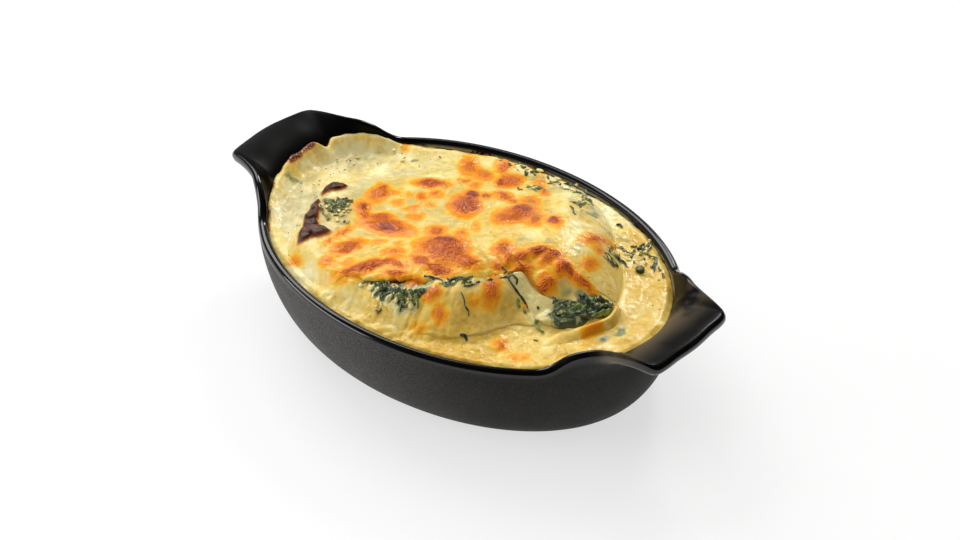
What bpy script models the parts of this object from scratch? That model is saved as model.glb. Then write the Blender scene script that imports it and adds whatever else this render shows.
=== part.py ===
"""A vegetarian lasagna baked in its oval stoneware dish with two handles.

Metres, +Z up. The origin is the middle of the dish's underside, +X runs along the
dish from handle to handle and +Y across it. The lasagna lies turned in the dish, so
its layers are made in a frame of their own: U runs along the stack, V across it.
"""
import math

import bpy
import bmesh
import numpy as np

# Stoneware dish
RIM_A = 0.1063
RIM_B = 0.0767
RIM_Z = 0.0466
FOOT_A = 0.0850
FOOT_B = 0.0556
FLOOR_INSET = 0.0040
FLOOR_Z = 0.0060
WALL = 0.0046
HANDLE_EXTRA = 0.0006
SWEEP = 1.86
BEND_Z = 0.0400

# One quarter of the handle: degrees from the long axis, reach of its edge, height of its edge
HANDLE = [
    (0.0, 0.1265, 0.0572),
    (5.2, 0.1262, 0.0570),
    (9.2, 0.1266, 0.0564),
    (10.7, 0.1263, 0.0563),
    (11.7, 0.1246, 0.0568),
    (12.7, 0.1206, 0.0575),
    (14.4, 0.1146, 0.0578),
    (16.7, 0.1086, 0.0575),
    (19.7, 0.1041, 0.0564),
    (23.2, 0.1001, 0.0535),
    (25.5, 0.0982, 0.0505),
    (28.0, 0.0969, 0.0478),
]
HANDLE_ENDS = 31.0
SIDE_ANGLES = [31.0, 36.0, 42.5, 50.0, 59.0, 69.0, 79.5]

# Food in the dish
GAP = 0.0003
SAUCE_Z = 0.0446
# Height of the crust that climbs the left handle: degrees round from its middle, height
CRUST_LINE = [(-44.0, 0.0432), (-36.0, 0.0438), (-31.0, 0.0450), (-28.0, 0.0464),
              (-25.5, 0.0478), (-23.2, 0.0490), (-19.7, 0.0506), (-16.7, 0.0513),
              (-14.4, 0.0512), (-11.0, 0.0508), (-5.0, 0.0507), (2.0, 0.0504),
              (8.0, 0.0493), (15.0, 0.0474), (24.0, 0.0449), (38.0, 0.0432)]

# Stack of layers: its middle and its turn in the dish
STACK_X = 0.0
STACK_Y = -0.010
STACK_TURN = math.radians(22.0)
COARSE = 0.009
FINE = 0.0045
FINEST = 0.003
INNER_A = RIM_A - WALL
INNER_B = RIM_B - WALL

# Crest of the stack along U: its place across, its height over the dish's foot,
# how far the stack slopes down in front of it and behind it
CREST_V = [(-0.080, -0.014), (-0.068, -0.018), (-0.055, -0.025), (-0.038, -0.031),
           (-0.015, -0.033), (0.005, -0.031), (0.020, -0.027), (0.031, -0.019),
           (0.044, -0.001), (0.056, -0.001), (0.071, -0.010), (0.085, -0.014)]
CREST_Z = [(-0.082, 0.0446), (-0.076, 0.0458), (-0.069, 0.0508), (-0.060, 0.0518),
           (-0.038, 0.0535), (-0.015, 0.0585), (0.005, 0.0615), (0.020, 0.0620),
           (0.031, 0.0615), (0.044, 0.0620), (0.056, 0.0605), (0.071, 0.0545),
           (0.079, 0.0475), (0.085, 0.0446)]
FRONT_RUN = [(-0.080, 0.016), (-0.060, 0.020), (-0.038, 0.027), (-0.015, 0.030),
             (0.005, 0.033), (0.020, 0.035), (0.031, 0.037), (0.044, 0.044),
             (0.056, 0.040), (0.071, 0.030), (0.085, 0.020)]
BACK_RUN = [(-0.080, 0.070), (-0.050, 0.105), (-0.020, 0.125), (0.020, 0.120),
            (0.040, 0.095), (0.060, 0.058), (0.085, 0.028)]
BACK_FALL = 1.15

# Layer thicknesses
CHEESE = 0.0024
CHEESE_EDGE = 0.0008
SHEET = 0.0020
SHEET_EDGE = 0.0009
LOWER_SHEET = 0.0017

# How far each layer reaches in front of the crest along U
CHEESE_FRONT = [(-0.080, 0.040), (-0.045, 0.030), (-0.036, 0.006), (0.028, 0.004),
                (0.036, 0.006), (0.044, 0.019), (0.052, 0.021), (0.062, 0.0165),
                (0.071, 0.005), (0.080, 0.001)]
SHEET_FRONT = [(-0.080, 0.002), (0.036, 0.002), (0.044, 0.015), (0.052, 0.017),
               (0.062, 0.0125), (0.071, 0.002), (0.080, -0.002)]
FILLING_FRONT = [(-0.080, 0.008), (-0.042, 0.009), (-0.034, 0.018), (-0.014, 0.020),
                 (-0.004, 0.012), (0.034, 0.014), (0.044, 0.029), (0.056, 0.033),
                 (0.066, 0.024), (0.073, 0.014), (0.080, 0.004)]
# The upper sheet's front flap: where it starts, how far it hangs, and the crease it ends at
FLAP_U = -0.008
FLAP_REACH = 0.040
CREASE_U = 0.0398
CREASE_V = -0.0270
CREASE_TURN = math.radians(49.4)
# How high the stack, or the sheet's underside, must stand for each layer to reach there
CHEESE_LEAST = [(-0.080, 0.0004), (0.055, 0.0004), (0.066, 0.0024), (0.085, 0.0024)]
SHEET_LEAST = [(-0.080, 0.0018), (0.036, 0.0018), (0.044, 0.0048), (0.085, 0.0048)]
LOWER_LEAST = 0.0030
FILLING_LEAST = 0.0036
SHOWN_FILLING = [(0.046, 0.0032), (0.056, 0.0050)]
LUMP = 0.0012

# Curled end of the lower sheet, at the right front
CURL_U = 0.052
CURL_V = -0.041
CURL_TURN = math.radians(42.0)
CURL_LENGTH = 0.042
CURL_RISE = 0.0030
CURL_HALF = 0.0050
CURL_FOOT = 0.0062

# Browned blisters of the cheese: U, V, length, width, turn in degrees, height
BLISTERS = [
    (-0.047, 0.035, 0.013, 0.011, 40, 0.0010),
    (-0.048, 0.017, 0.010, 0.008, 20, 0.0010),
    (-0.032, 0.005, 0.027, 0.017, -20, 0.0016),
    (-0.026, 0.048, 0.017, 0.011, 15, 0.0010),
    (-0.002, 0.029, 0.025, 0.021, 50, 0.0020),
    (-0.042, -0.016, 0.020, 0.010, 35, 0.0012),
    (-0.025, -0.029, 0.030, 0.008, 15, 0.0012),
    (0.003, -0.014, 0.034, 0.026, 10, 0.0020),
    (0.018, -0.019, 0.018, 0.012, 20, 0.0014),
    (-0.012, 0.066, 0.019, 0.015, 30, 0.0010),
    (0.005, 0.064, 0.015, 0.014, 30, 0.0010),
    (0.020, 0.031, 0.023, 0.020, 40, 0.0018),
    (0.032, 0.022, 0.012, 0.009, 10, 0.0012),
    (0.045, 0.014, 0.012, 0.016, 0, 0.0012),
    (0.027, -0.007, 0.012, 0.016, 20, 0.0012),
    (0.060, 0.020, 0.014, 0.009, 10, 0.0010),
    (0.050, -0.017, 0.013, 0.010, -10, 0.0014),
    (0.039, -0.015, 0.011, 0.008, 0, 0.0012),
    (0.055, -0.009, 0.009, 0.008, 0, 0.0012),
]
# Burnt edge of the pasta that stands out of the cheese at the far left
BURNS = [
    (-0.0685, 0.0320, 0.0130, 0.0070, 35, 0.0028),
    (-0.0685, 0.0080, 0.0240, 0.0080, 107, 0.0034),
    (-0.0620, -0.0100, 0.0130, 0.0100, 20, 0.0028),
]

# Loose pieces of spinach: X, Y, length, width, heading in degrees, curl
CREAM_LEAVES = [
    (0.0590, 0.0366, 0.0105, 0.0050, -21, 0.0010),
    (0.0503, 0.0432, 0.0100, 0.0034, 100, 0.0012),
    (0.0556, 0.0455, 0.0085, 0.0032, -35, 0.0012),
    (0.0604, 0.0512, 0.0105, 0.0050, 94, 0.0012),
    (0.0652, 0.0449, 0.0065, 0.0026, 68, 0.0006),
    (0.0715, 0.0452, 0.0140, 0.0040, -42, 0.0012),
]
CHEESE_LEAVES = [
    (0.0228, 0.0505, 0.0110, 0.0050, 82, 0.0012),
    (0.0076, 0.0628, 0.0080, 0.0048, 40, 0.0010),
    (-0.0035, 0.0520, 0.0075, 0.0028, 35, 0.0006),
]
LEAF_THICK = 0.0008
STALK_X = 0.0690
STALK_Y = 0.0369
STALK_R = 0.0020
STALK_LONG = 0.0030


def step(t):
    """0 below 0, 1 above 1, smooth between."""
    t = np.clip(t, 0.0, 1.0)
    return t * t * (3.0 - 2.0 * t)


def bell(t):
    """1 at 0, 0 from 1 outward, smooth between."""
    return 0.5 * (1.0 + np.cos(math.pi * np.clip(t, 0.0, 1.0)))


def along(t, points):
    """Smooth curve through (place, value) points, flat past its ends, with no overshoot."""
    place = np.array([p[0] for p in points])
    value = np.array([p[1] for p in points])
    run = np.diff(place)
    slope = np.diff(value) / run
    tangent = np.zeros(len(points))
    for i in range(1, len(points) - 1):
        if slope[i - 1] * slope[i] > 0.0:
            mean = (slope[i - 1] * run[i] + slope[i] * run[i - 1]) / (run[i - 1] + run[i])
            most = 3.0 * min(abs(slope[i - 1]), abs(slope[i]))
            tangent[i] = math.copysign(min(abs(mean), most), mean)
    t = np.clip(t, place[0], place[-1])
    i = np.clip(np.searchsorted(place, t) - 1, 0, len(run) - 1)
    s = (t - place[i]) / run[i]
    return ((1 + 2 * s) * (1 - s) ** 2 * value[i] + s * (1 - s) ** 2 * run[i] * tangent[i]
            + s * s * (3 - 2 * s) * value[i + 1] + s * s * (s - 1) * run[i] * tangent[i + 1])


def finish(name, colour, roughness):
    """Principled material in a plain colour."""
    material = bpy.data.materials.new(name)
    material.use_nodes = True
    shader = material.node_tree.nodes["Principled BSDF"]
    shader.inputs["Base Color"].default_value = (*colour, 1.0)
    shader.inputs["Roughness"].default_value = roughness
    return material


def make(name, verts, faces, material, sharp=40.0, parent=None):
    """Object from vertices and faces, round where its faces meet gently."""
    mesh = bpy.data.meshes.new(name)
    mesh.from_pydata([tuple(float(c) for c in v) for v in verts], [], faces)
    mesh.update()
    mesh.shade_smooth()
    mesh.set_sharp_from_angle(angle=math.radians(sharp))
    mesh.materials.append(material)
    thing = bpy.data.objects.new(name, mesh)
    bpy.context.scene.collection.objects.link(thing)
    thing.parent = parent
    return thing


def loft(name, rings, low, high, material):
    """Closed body through rings of equal count, closed by a fan at each end."""
    count = len(rings[0])
    verts = [low]
    for ring in rings:
        verts.extend(ring)
    verts.append(high)
    last = len(verts) - 1
    faces = []
    for k in range(count):
        faces.append((0, 1 + (k + 1) % count, 1 + k))
    for r in range(len(rings) - 1):
        a = 1 + r * count
        b = a + count
        for k in range(count):
            n = (k + 1) % count
            faces.append((a + k, a + n, b + n, b + k))
    top = last - count
    for k in range(count):
        faces.append((top + k, top + (k + 1) % count, last))
    return make(name, verts, faces, material)


# Dish

def reach_of(a, b, angle):
    """Distance from the middle to an ellipse, along a direction in radians."""
    return a * b / math.hypot(b * math.cos(angle), a * math.sin(angle))


def outer_reach(z, angle):
    """Outside of the wall at height z."""
    fill = (1.0 - (1.0 - z / RIM_Z) ** SWEEP) ** (1.0 / SWEEP)
    return reach_of(FOOT_A + (RIM_A - FOOT_A) * fill, FOOT_B + (RIM_B - FOOT_B) * fill, angle)


def inner_reach(z, angle):
    """Inside of the wall at height z."""
    fill = (1.0 - (1.0 - (z - FLOOR_Z) / (RIM_Z - FLOOR_Z)) ** SWEEP) ** (1.0 / SWEEP)
    a = FOOT_A - FLOOR_INSET
    b = FOOT_B - FLOOR_INSET
    return reach_of(a + (INNER_A - a) * fill, b + (INNER_B - b) * fill, angle)


def from_long_axis(angle):
    """Degrees between a direction and the nearer half of the long axis."""
    turn = abs(math.degrees(math.atan2(math.sin(angle), math.cos(angle))))
    return min(turn, 180.0 - turn)


def handle_edge(angle):
    """Reach and height of the dish's top edge along a direction."""
    turn = from_long_axis(angle)
    rim = reach_of(RIM_A, RIM_B, angle)
    if turn >= HANDLE_ENDS:
        return rim, RIM_Z
    rim_there = reach_of(RIM_A, RIM_B, math.radians(HANDLE_ENDS))
    reach = float(along(turn, [(a, r) for a, r, z in HANDLE] + [(HANDLE_ENDS, rim_there)]))
    top = float(along(turn, [(a, z) for a, r, z in HANDLE] + [(HANDLE_ENDS, RIM_Z)]))
    return max(reach, rim), top


def upper_wall(angle, s, side):
    """Point of the wall above the bend: s runs to its edge, side is -1 inside and 1 outside."""
    reach, top = handle_edge(angle)
    out = reach - reach_of(RIM_A, RIM_B, angle)
    inside = inner_reach(BEND_Z, angle)
    outside = outer_reach(BEND_Z, angle)
    edge_wall = WALL + HANDLE_EXTRA * float(step(out / 0.010))
    thick = (outside - inside) * (1 - s) + edge_wall * s
    start = np.array([0.5 * (inside + outside), BEND_Z])
    end = np.array([reach - edge_wall / 2, top - edge_wall / 2])
    lean = math.radians(90.0 - 84.0 * float(step(out / 0.016)))
    chord = np.linalg.norm(end - start)
    leave = np.array([0.0, 1.1 * chord])
    arrive = 1.3 * chord * np.array([math.cos(lean), math.sin(lean)])
    place = ((1 + 2 * s) * (1 - s) ** 2 * start + s * (1 - s) ** 2 * leave
             + s * s * (3 - 2 * s) * end + s * s * (s - 1) * arrive)
    heading = (6 * s * (s - 1) * start + (1 - s) * (1 - 3 * s) * leave
               + 6 * s * (1 - s) * end + s * (3 * s - 2) * arrive)
    heading = heading / np.linalg.norm(heading)
    across = np.array([heading[1], -heading[0]])
    return place + side * across * thick / 2, across, heading


def edge_roll(angle, turn):
    """Point on the rounded edge, turned from its outside (0) to its inside (180 degrees)."""
    outside, across, heading = upper_wall(angle, 1.0, 1)
    inside = upper_wall(angle, 1.0, -1)[0]
    middle = (outside + inside) / 2
    radius = np.linalg.norm(outside - inside) / 2
    a = math.radians(turn)
    return middle + radius * (math.cos(a) * across + math.sin(a) * heading)


def food_line(angle):
    """Height at which the food meets the wall; its crust climbs the left handle."""
    turn = math.degrees(math.atan2(math.sin(angle - math.pi), math.cos(angle - math.pi)))
    return float(along(turn, CRUST_LINE))


def food_share(angle):
    """How far up the upper wall the food reaches, as the wall's own s."""
    low, high = 0.0, 1.0
    line = food_line(angle)
    for _ in range(40):
        mid = (low + high) / 2
        if upper_wall(angle, mid, -1)[0][1] < line:
            low = mid
        else:
            high = mid
    return low


def directions():
    """Directions round the dish, closest together where the handles turn."""
    quarter = sorted([a for a, r, z in HANDLE] + SIDE_ANGLES)
    half = quarter + [90.0] + [180.0 - a for a in reversed(quarter[1:])]
    return [math.radians(a) for a in half] + [math.radians(a + 180.0) for a in half]


def ring(angles, point):
    """Ring of points from a function that gives reach and height along a direction."""
    places = [point(a) for a in angles]
    return [(p[0] * math.cos(a), p[0] * math.sin(a), p[1]) for a, p in zip(angles, places)]


def build_dish():
    angles = directions()
    rings = [ring(angles, lambda a, z=z: (outer_reach(z, a), z)) for z in (0.0, 0.004, 0.014, 0.028)]
    rings += [ring(angles, lambda a, s=s: upper_wall(a, s, 1)[0]) for s in (0.0, 0.5, 1.0)]
    rings += [ring(angles, lambda a, t=t: edge_roll(a, t)) for t in (60.0, 120.0, 180.0)]
    for share in (0.66, 0.33, 0.0):
        rings.append(ring(angles, lambda a, k=share: upper_wall(
            a, food_share(a) * (1 - k) + k, -1)[0]))
    rings.append(ring(angles, lambda a: upper_wall(a, food_share(a) / 2, -1)[0]))
    rings.append(ring(angles, lambda a: upper_wall(a, 0.0, -1)[0]))
    for z in (0.026, 0.013, FLOOR_Z):
        rings.append(ring(angles, lambda a, z=z: (inner_reach(z, a), z)))
    stoneware = finish("stoneware", (0.018, 0.017, 0.017), 0.45)
    return loft("dish", rings, (0, 0, 0), (0, 0, FLOOR_Z), stoneware)


# Cream sauce

def clear_of_wall(angle, s):
    """Point on the food's side, a gap inside the upper wall."""
    place, across, heading = upper_wall(angle, s, -1)
    return place - across * GAP * 1.3


def cream_top(angle, share):
    """Point of the cream's surface at a share of its reach along a direction."""
    edge = clear_of_wall(angle, food_share(angle))
    climb = max(edge[1] - SAUCE_Z, 0.0) * float(step((share - 0.88) / 0.115))
    dip = max(SAUCE_Z - edge[1], 0.0) * 0.3 * float(step((share - 0.96) / 0.03))
    return edge[0] * share, SAUCE_Z + climb - dip


def build_cream():
    angles = directions()
    rings = []
    for z in (FLOOR_Z, 0.013, 0.026):
        rings.append(ring(angles, lambda a, z=z: (inner_reach(z, a) - 1.4 * GAP, z + GAP)))
    rings.append(ring(angles, lambda a: clear_of_wall(a, 0.0)))
    rings.append(ring(angles, lambda a: clear_of_wall(a, food_share(a) / 2)))
    rings.append(ring(angles, lambda a: clear_of_wall(a, food_share(a))))
    for share in (0.985, 0.955, 0.92, 0.87, 0.6):
        rings.append(ring(angles, lambda a, k=share: cream_top(a, k)))
    cream = finish("cream", (0.86, 0.75, 0.46), 0.35)
    return loft("cream_sauce", rings, (0, 0, FLOOR_Z + GAP), (0, 0, SAUCE_Z), cream)


# Layers of the stack

def to_dish(u, v):
    """Stack frame to dish frame."""
    c, s = math.cos(STACK_TURN), math.sin(STACK_TURN)
    return STACK_X + u * c - v * s, STACK_Y + u * s + v * c


def to_stack(x, y):
    """Dish frame to stack frame."""
    c, s = math.cos(STACK_TURN), math.sin(STACK_TURN)
    return (x - STACK_X) * c + (y - STACK_Y) * s, (y - STACK_Y) * c - (x - STACK_X) * s


def wall_share(u, v):
    """1 on the dish's inner wall, less inside."""
    x, y = to_dish(u, v)
    return np.hypot(x / INNER_A, y / INNER_B)


def dome(u, v):
    """Height of the stack under its cheese, over the cream."""
    crest_v = along(u, CREST_V)
    crest = np.maximum(along(u, CREST_Z) - SAUCE_Z - CHEESE, 0.0)
    front = bell((crest_v - v) / along(u, FRONT_RUN))
    back = bell(np.clip((v - crest_v) / along(u, BACK_RUN), 0.0, 1.0) ** BACK_FALL)
    return crest * np.where(v < crest_v, front, back) * step((0.985 - wall_share(u, v)) / 0.16)


def flat_facets(f, u, v):
    """Function f as the coarse lattice's triangles give it."""
    a = u / COARSE
    b = v / COARSE
    i = np.floor(a)
    j = np.floor(b)
    fa = a - i
    fb = b - j
    f00 = f(i * COARSE, j * COARSE)
    f10 = f((i + 1) * COARSE, j * COARSE)
    f01 = f(i * COARSE, (j + 1) * COARSE)
    f11 = f((i + 1) * COARSE, (j + 1) * COARSE)
    lower = f00 + fa * (f10 - f00) + fb * (f11 - f10)
    upper = f00 + fb * (f01 - f00) + fa * (f11 - f01)
    return np.where(fa >= fb, lower, upper)


def core(u, v):
    """Surface of the upper pasta sheet, on which the cheese lies."""
    return SAUCE_Z + flat_facets(dome, u, v)


def before_crest(u, v, reach):
    """Distance inside the line that runs a reach in front of the crest."""
    line = along(u, CREST_V) - along(u, reach)
    slope = (along(u + 0.001, CREST_V) - along(u + 0.001, reach) - line) / 0.001
    return (v - line) / np.hypot(1.0, slope)


def past_crease(u, v):
    """Distance to the right of the crease at which the upper sheet's flap ends."""
    return (u - CREASE_U) * math.cos(CREASE_TURN) + (v - CREASE_V) * math.sin(CREASE_TURN)


def sheet_shape(u, v):
    """Distance inside the upper sheet's edge, the flap included."""
    flap = np.minimum(before_crest(u, v, [(0.0, FLAP_REACH), (0.05, FLAP_REACH)]),
                      np.minimum(u - FLAP_U, -past_crease(u, v)))
    return np.maximum(before_crest(u, v, SHEET_FRONT), flap)


def bumps(u, v, places):
    """Height of oval bumps given as U, V, length, width, turn and height."""
    total = np.zeros(np.broadcast(u, v).shape)
    for cu, cv, length, width, turn, height in places:
        c, s = math.cos(math.radians(turn)), math.sin(math.radians(turn))
        p = ((u - cu) * c + (v - cv) * s) / (length * 0.62)
        q = ((v - cv) * c - (u - cu) * s) / (width * 0.62)
        total = np.maximum(total, height * bell(np.hypot(p, q)))
    return total


def cheese_extent(u, v):
    inside = (0.965 - wall_share(u, v)) * INNER_A
    low = dome(u, v) - along(u, CHEESE_LEAST)
    return np.minimum(np.minimum(low, before_crest(u, v, CHEESE_FRONT)), inside)


def cheese_bottom(u, v):
    return core(u, v) + GAP


def cheese_top(u, v):
    """The stack's curve, raised by the cheese, its blisters and the burnt pasta under it."""
    body = CHEESE_EDGE + (CHEESE - CHEESE_EDGE) * step(dome(u, v) / 0.003)
    relief = bumps(u, v, BLISTERS) + bumps(u, v, BURNS)
    curve = SAUCE_Z + GAP + dome(u, v) + body
    return np.maximum(curve, cheese_bottom(u, v) + CHEESE_EDGE) + relief


def sheet_extent(u, v):
    low = dome(u, v) - along(u, SHEET_LEAST)
    return np.minimum(low, sheet_shape(u, v))


def sheet_body(u, v):
    return SHEET_EDGE + (SHEET - SHEET_EDGE) * step(dome(u, v) / 0.006)


def sheet_bottom(u, v):
    return SAUCE_Z + flat_facets(lambda a, b: dome(a, b) - sheet_body(a, b), u, v)


def sheet_top(u, v):
    """The core's facets under the cheese, the true curve where the sheet shows."""
    shown = step((-before_crest(u, v, CHEESE_FRONT) - 1.42 * FINE) / 0.004)
    true = SAUCE_Z + dome(u, v)
    return core(u, v) * (1 - shown) + np.maximum(true, core(u, v)) * shown


def uncovered(u, v):
    """0 under the upper sheet and the cheese, 1 where the filling shows."""
    cover = np.maximum(sheet_shape(u, v), before_crest(u, v, CHEESE_FRONT))
    return step((-cover - 1.42 * FINEST) / 0.003)


def filling_extent(u, v):
    room = sheet_bottom(u, v) - SAUCE_Z - FILLING_LEAST
    shown = uncovered(u, v)
    p, q = curl_place(u, v)
    behind_curl = -q - 0.6 * CURL_HALF
    inside = np.minimum(room * (1 - shown) + 0.005 * shown, behind_curl)
    return np.minimum(inside, before_crest(u, v, FILLING_FRONT))


def curl_place(u, v):
    """Distance along the lower sheet's curled end, and outward across it."""
    c, s = math.cos(CURL_TURN), math.sin(CURL_TURN)
    return (u - CURL_U) * c + (v - CURL_V) * s, (u - CURL_U) * s - (v - CURL_V) * c


def lower_extent(u, v):
    """Under the stack, with a tongue that comes out at the right front."""
    p, q = curl_place(u, v)
    foot = np.minimum(CURL_FOOT - q, np.minimum(p + 0.006, CURL_LENGTH + 0.006 - p))
    ahead = np.minimum(0.003 - before_crest(u, v, CHEESE_FRONT), past_crease(u, v) - 0.001)
    tongue = np.minimum(foot, ahead)
    return np.maximum(sheet_bottom(u, v) - SAUCE_Z - LOWER_LEAST, tongue)


def lower_bottom(u, v):
    return SAUCE_Z + GAP + 0.0 * (u + v)


def lower_top(u, v):
    p, q = curl_place(u, v)
    ends = step((p + 0.006) / 0.010) * step((CURL_LENGTH + 0.006 - p) / 0.010)
    curl = CURL_RISE * bell(np.abs(q) / CURL_HALF) * ends
    tapered = 0.0005 + (LOWER_SHEET - 0.0005) * step((CURL_FOOT + 0.0005 - q) / 0.005)
    return lower_bottom(u, v) + tapered + curl


def filling_bottom(u, v):
    """A gap over the lower sheet, its curl included."""
    return np.maximum(SAUCE_Z + 2 * GAP + LOWER_SHEET, lower_top(u, v) + GAP)


def filling_top(u, v):
    """Under the upper sheet a gap below it, and lumps of spinach where it shows."""
    hidden = sheet_bottom(u, v) - GAP
    shown = uncovered(u, v)
    lumps = LUMP * (0.5 + 0.5 * np.sin(u * 900.0 + 2.0 * np.sin(v * 500.0)) * np.sin(v * 1050.0 + 0.7))
    open_top = SAUCE_Z + np.maximum(dome(u, v), along(u, SHOWN_FILLING)) + lumps
    return hidden * (1 - shown) + open_top * shown


def outline(extent, middle, spokes):
    """Points where an extent falls to nothing, along spokes from a middle inside it."""
    points = []
    run = np.linspace(0.001, 0.120, 1200)
    for k in range(spokes):
        a = 2 * math.pi * k / spokes
        u = middle[0] + run * math.cos(a)
        v = middle[1] + run * math.sin(a)
        r = run[np.argmax(extent(u, v) < 0.0)]
        points.append((middle[0] + r * math.cos(a), middle[1] + r * math.sin(a)))
    return points


def lattice_faces(rows, columns, first, upward):
    """Triangles of a lattice, each cell split along the same diagonal."""
    faces = []
    for i in range(rows - 1):
        for j in range(columns - 1):
            a = first + i * columns + j
            b = a + columns
            pair = [(a, b, b + 1), (a, b + 1, a + 1)]
            faces += pair if upward else [f[::-1] for f in pair]
    return faces


def lattice_rim(rows, columns, first):
    """Lattice points round its edge, anticlockwise from above."""
    low = [first + i * columns for i in range(rows)]
    right = [first + (rows - 1) * columns + j for j in range(1, columns)]
    high = [first + i * columns + columns - 1 for i in range(rows - 2, -1, -1)]
    left = [first + j for j in range(columns - 2, 0, -1)]
    return low + right + high + left


def block(name, corners, spacing, height, far, material, stack):
    """Block between a surface over a lattice and a flat face far below or above it."""
    per = round(COARSE / spacing)
    us, vs = [[low * COARSE + i * spacing for i in range((high - low) * per + 1)]
              for low, high in corners]
    u, v = np.meshgrid(us, vs, indexing="ij")
    verts = list(zip(u.ravel(), v.ravel(), height(u, v).ravel()))
    below = far < verts[0][2]
    faces = lattice_faces(len(us), len(vs), 0, below)
    rim = lattice_rim(len(us), len(vs), 0)
    first = len(verts)
    verts += [(verts[k][0], verts[k][1], far) for k in rim]
    count = len(rim)
    cap = tuple(range(first, first + count))
    faces.append(cap[::-1] if below else cap)
    for k in range(count):
        n = (k + 1) % count
        side = (first + k, first + n, rim[n], rim[k])
        faces.append(side if below else side[::-1])
    return make(name, verts, faces, material, 50.0, stack)


def keep_inside(slab, cutter):
    """Trim a solid to the inside of a cutter, which itself isn't part of the dish."""
    cutter.hide_render = True
    cutter.display_type = "WIRE"
    trim = slab.modifiers.new(cutter.name, "BOOLEAN")
    trim.operation = "INTERSECT"
    trim.solver = "EXACT"
    trim.object = cutter


def layer(name, extent, middle, spokes, top, bottom, material, pitch, stack, under=COARSE):
    """Slab between two surfaces over a lattice, trimmed to the layer's outline."""
    shape = outline(extent, middle, spokes)
    corners = [(math.floor(min(p[k] for p in shape) / COARSE - 0.02),
                math.ceil(max(p[k] for p in shape) / COARSE + 0.02)) for k in (0, 1)]
    slab = block(name, corners, pitch, top, 0.030, material, stack)
    over = block(name + "_over", corners, under, bottom, 0.080, material, stack)

    count = len(shape)
    verts = [(u, v, 0.035) for u, v in shape] + [(u, v, 0.075) for u, v in shape]
    faces = [tuple(range(count - 1, -1, -1)), tuple(range(count, 2 * count))]
    faces += [(k, (k + 1) % count, count + (k + 1) % count, count + k) for k in range(count)]
    keep_inside(slab, make(name + "_outline", verts, faces, material, 40.0, stack))
    keep_inside(slab, over)
    plain = slab.modifiers.new("merge_flat_facets", "DECIMATE")
    plain.decimate_type = "DISSOLVE"
    plain.angle_limit = math.radians(0.05)
    return slab


def round_patch(cu, cv, length, width, turn, wobble):
    """Extent of an uneven oval patch."""
    c, s = math.cos(math.radians(turn)), math.sin(math.radians(turn))

    def extent(u, v):
        p = ((u - cu) * c + (v - cv) * s) / (length / 2)
        q = ((v - cv) * c - (u - cu) * s) / (width / 2)
        around = np.arctan2(q, p)
        return 1.0 + wobble * np.sin(3 * around + 1.0) - np.hypot(p, q)
    return extent


def build_tuft(stack, spinach):
    """Spinach that shows in the hollow behind the burnt edge."""
    extent = round_patch(-0.0555, 0.0125, 0.017, 0.014, 60, 0.14)

    def top(u, v):
        crumple = 0.0006 * np.sin(u * 1700.0 + 1.0) * np.sin(v * 1500.0)
        return cheese_top(u, v) + GAP + 0.0010 + 0.0010 * step(extent(u, v) / 0.5) + crumple
    return layer("spinach_tuft_left", extent, (-0.0555, 0.0125), 20, top,
                 lambda u, v: cheese_top(u, v) + GAP, spinach, FINE, stack, FINE)


def build_front_patch(stack, spinach):
    """Spinach between the cheese's edge and the sheet, in the middle of the front."""
    def extent(u, v):
        ahead = -before_crest(u, v, CHEESE_FRONT)
        return np.minimum(np.minimum(ahead - 0.0008, 0.0065 - ahead),
                          np.minimum(u - 0.006, 0.0245 - u))

    def top(u, v):
        return sheet_top(u, v) + GAP + 0.0011 + 0.0004 * np.sin(u * 1300.0)
    return layer("spinach_front_patch", extent, (0.0155, -0.0360), 24, top,
                 lambda u, v: sheet_top(u, v) + GAP, spinach, FINE, stack, FINE)


def leaf(name, x, y, length, width, heading, curl, floor, material):
    """Thin wavy leaf that lies just over a floor given as a height at x, y."""
    stations = 7
    across = 3
    c, s = math.cos(math.radians(heading)), math.sin(math.radians(heading))
    base = max(floor(x + length * p * c, y + length * p * s) for p in (-0.5, -0.25, 0, 0.25, 0.5))
    verts = []
    for lift in (0.0, LEAF_THICK):
        for i in range(stations):
            p = i / (stations - 1)
            half = width * (0.16 + 0.34 * math.sin(math.pi * min(p * 0.92 + 0.04, 1.0)))
            for j in range(across):
                q = j - 1.0
                wave = 0.3 * curl * math.sin(2.5 * math.pi * p + q) + 0.3 * curl
                rise = wave + curl * 0.7 * q * q * (0.4 + 0.6 * p)
                px = (p - 0.5) * length
                py = q * half + 0.12 * length * math.sin(math.pi * p)
                verts.append((x + px * c - py * s, y + px * s + py * c, base + GAP + rise + lift))
    count = stations * across
    faces = lattice_faces(stations, across, 0, False)
    faces += lattice_faces(stations, across, count, True)
    low = lattice_rim(stations, across, 0)
    for k in range(len(low)):
        n = low[(k + 1) % len(low)]
        faces.append((low[k], n, n + count, low[k] + count))
    return make(name, verts, faces, material, 60.0)


def build_stalk(material):
    """Short cut piece of a green stalk, lying on the cream."""
    mesh = bmesh.new()
    bmesh.ops.create_cone(mesh, cap_ends=True, segments=10, radius1=STALK_R,
                          radius2=STALK_R * 0.92, depth=STALK_LONG)
    data = bpy.data.meshes.new("green_stalk")
    mesh.to_mesh(data)
    mesh.free()
    data.shade_smooth()
    data.set_sharp_from_angle(angle=math.radians(50.0))
    data.materials.append(material)
    stalk = bpy.data.objects.new("green_stalk", data)
    stalk.location = (STALK_X, STALK_Y, SAUCE_Z + GAP + STALK_LONG / 2)
    bpy.context.scene.collection.objects.link(stalk)


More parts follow.
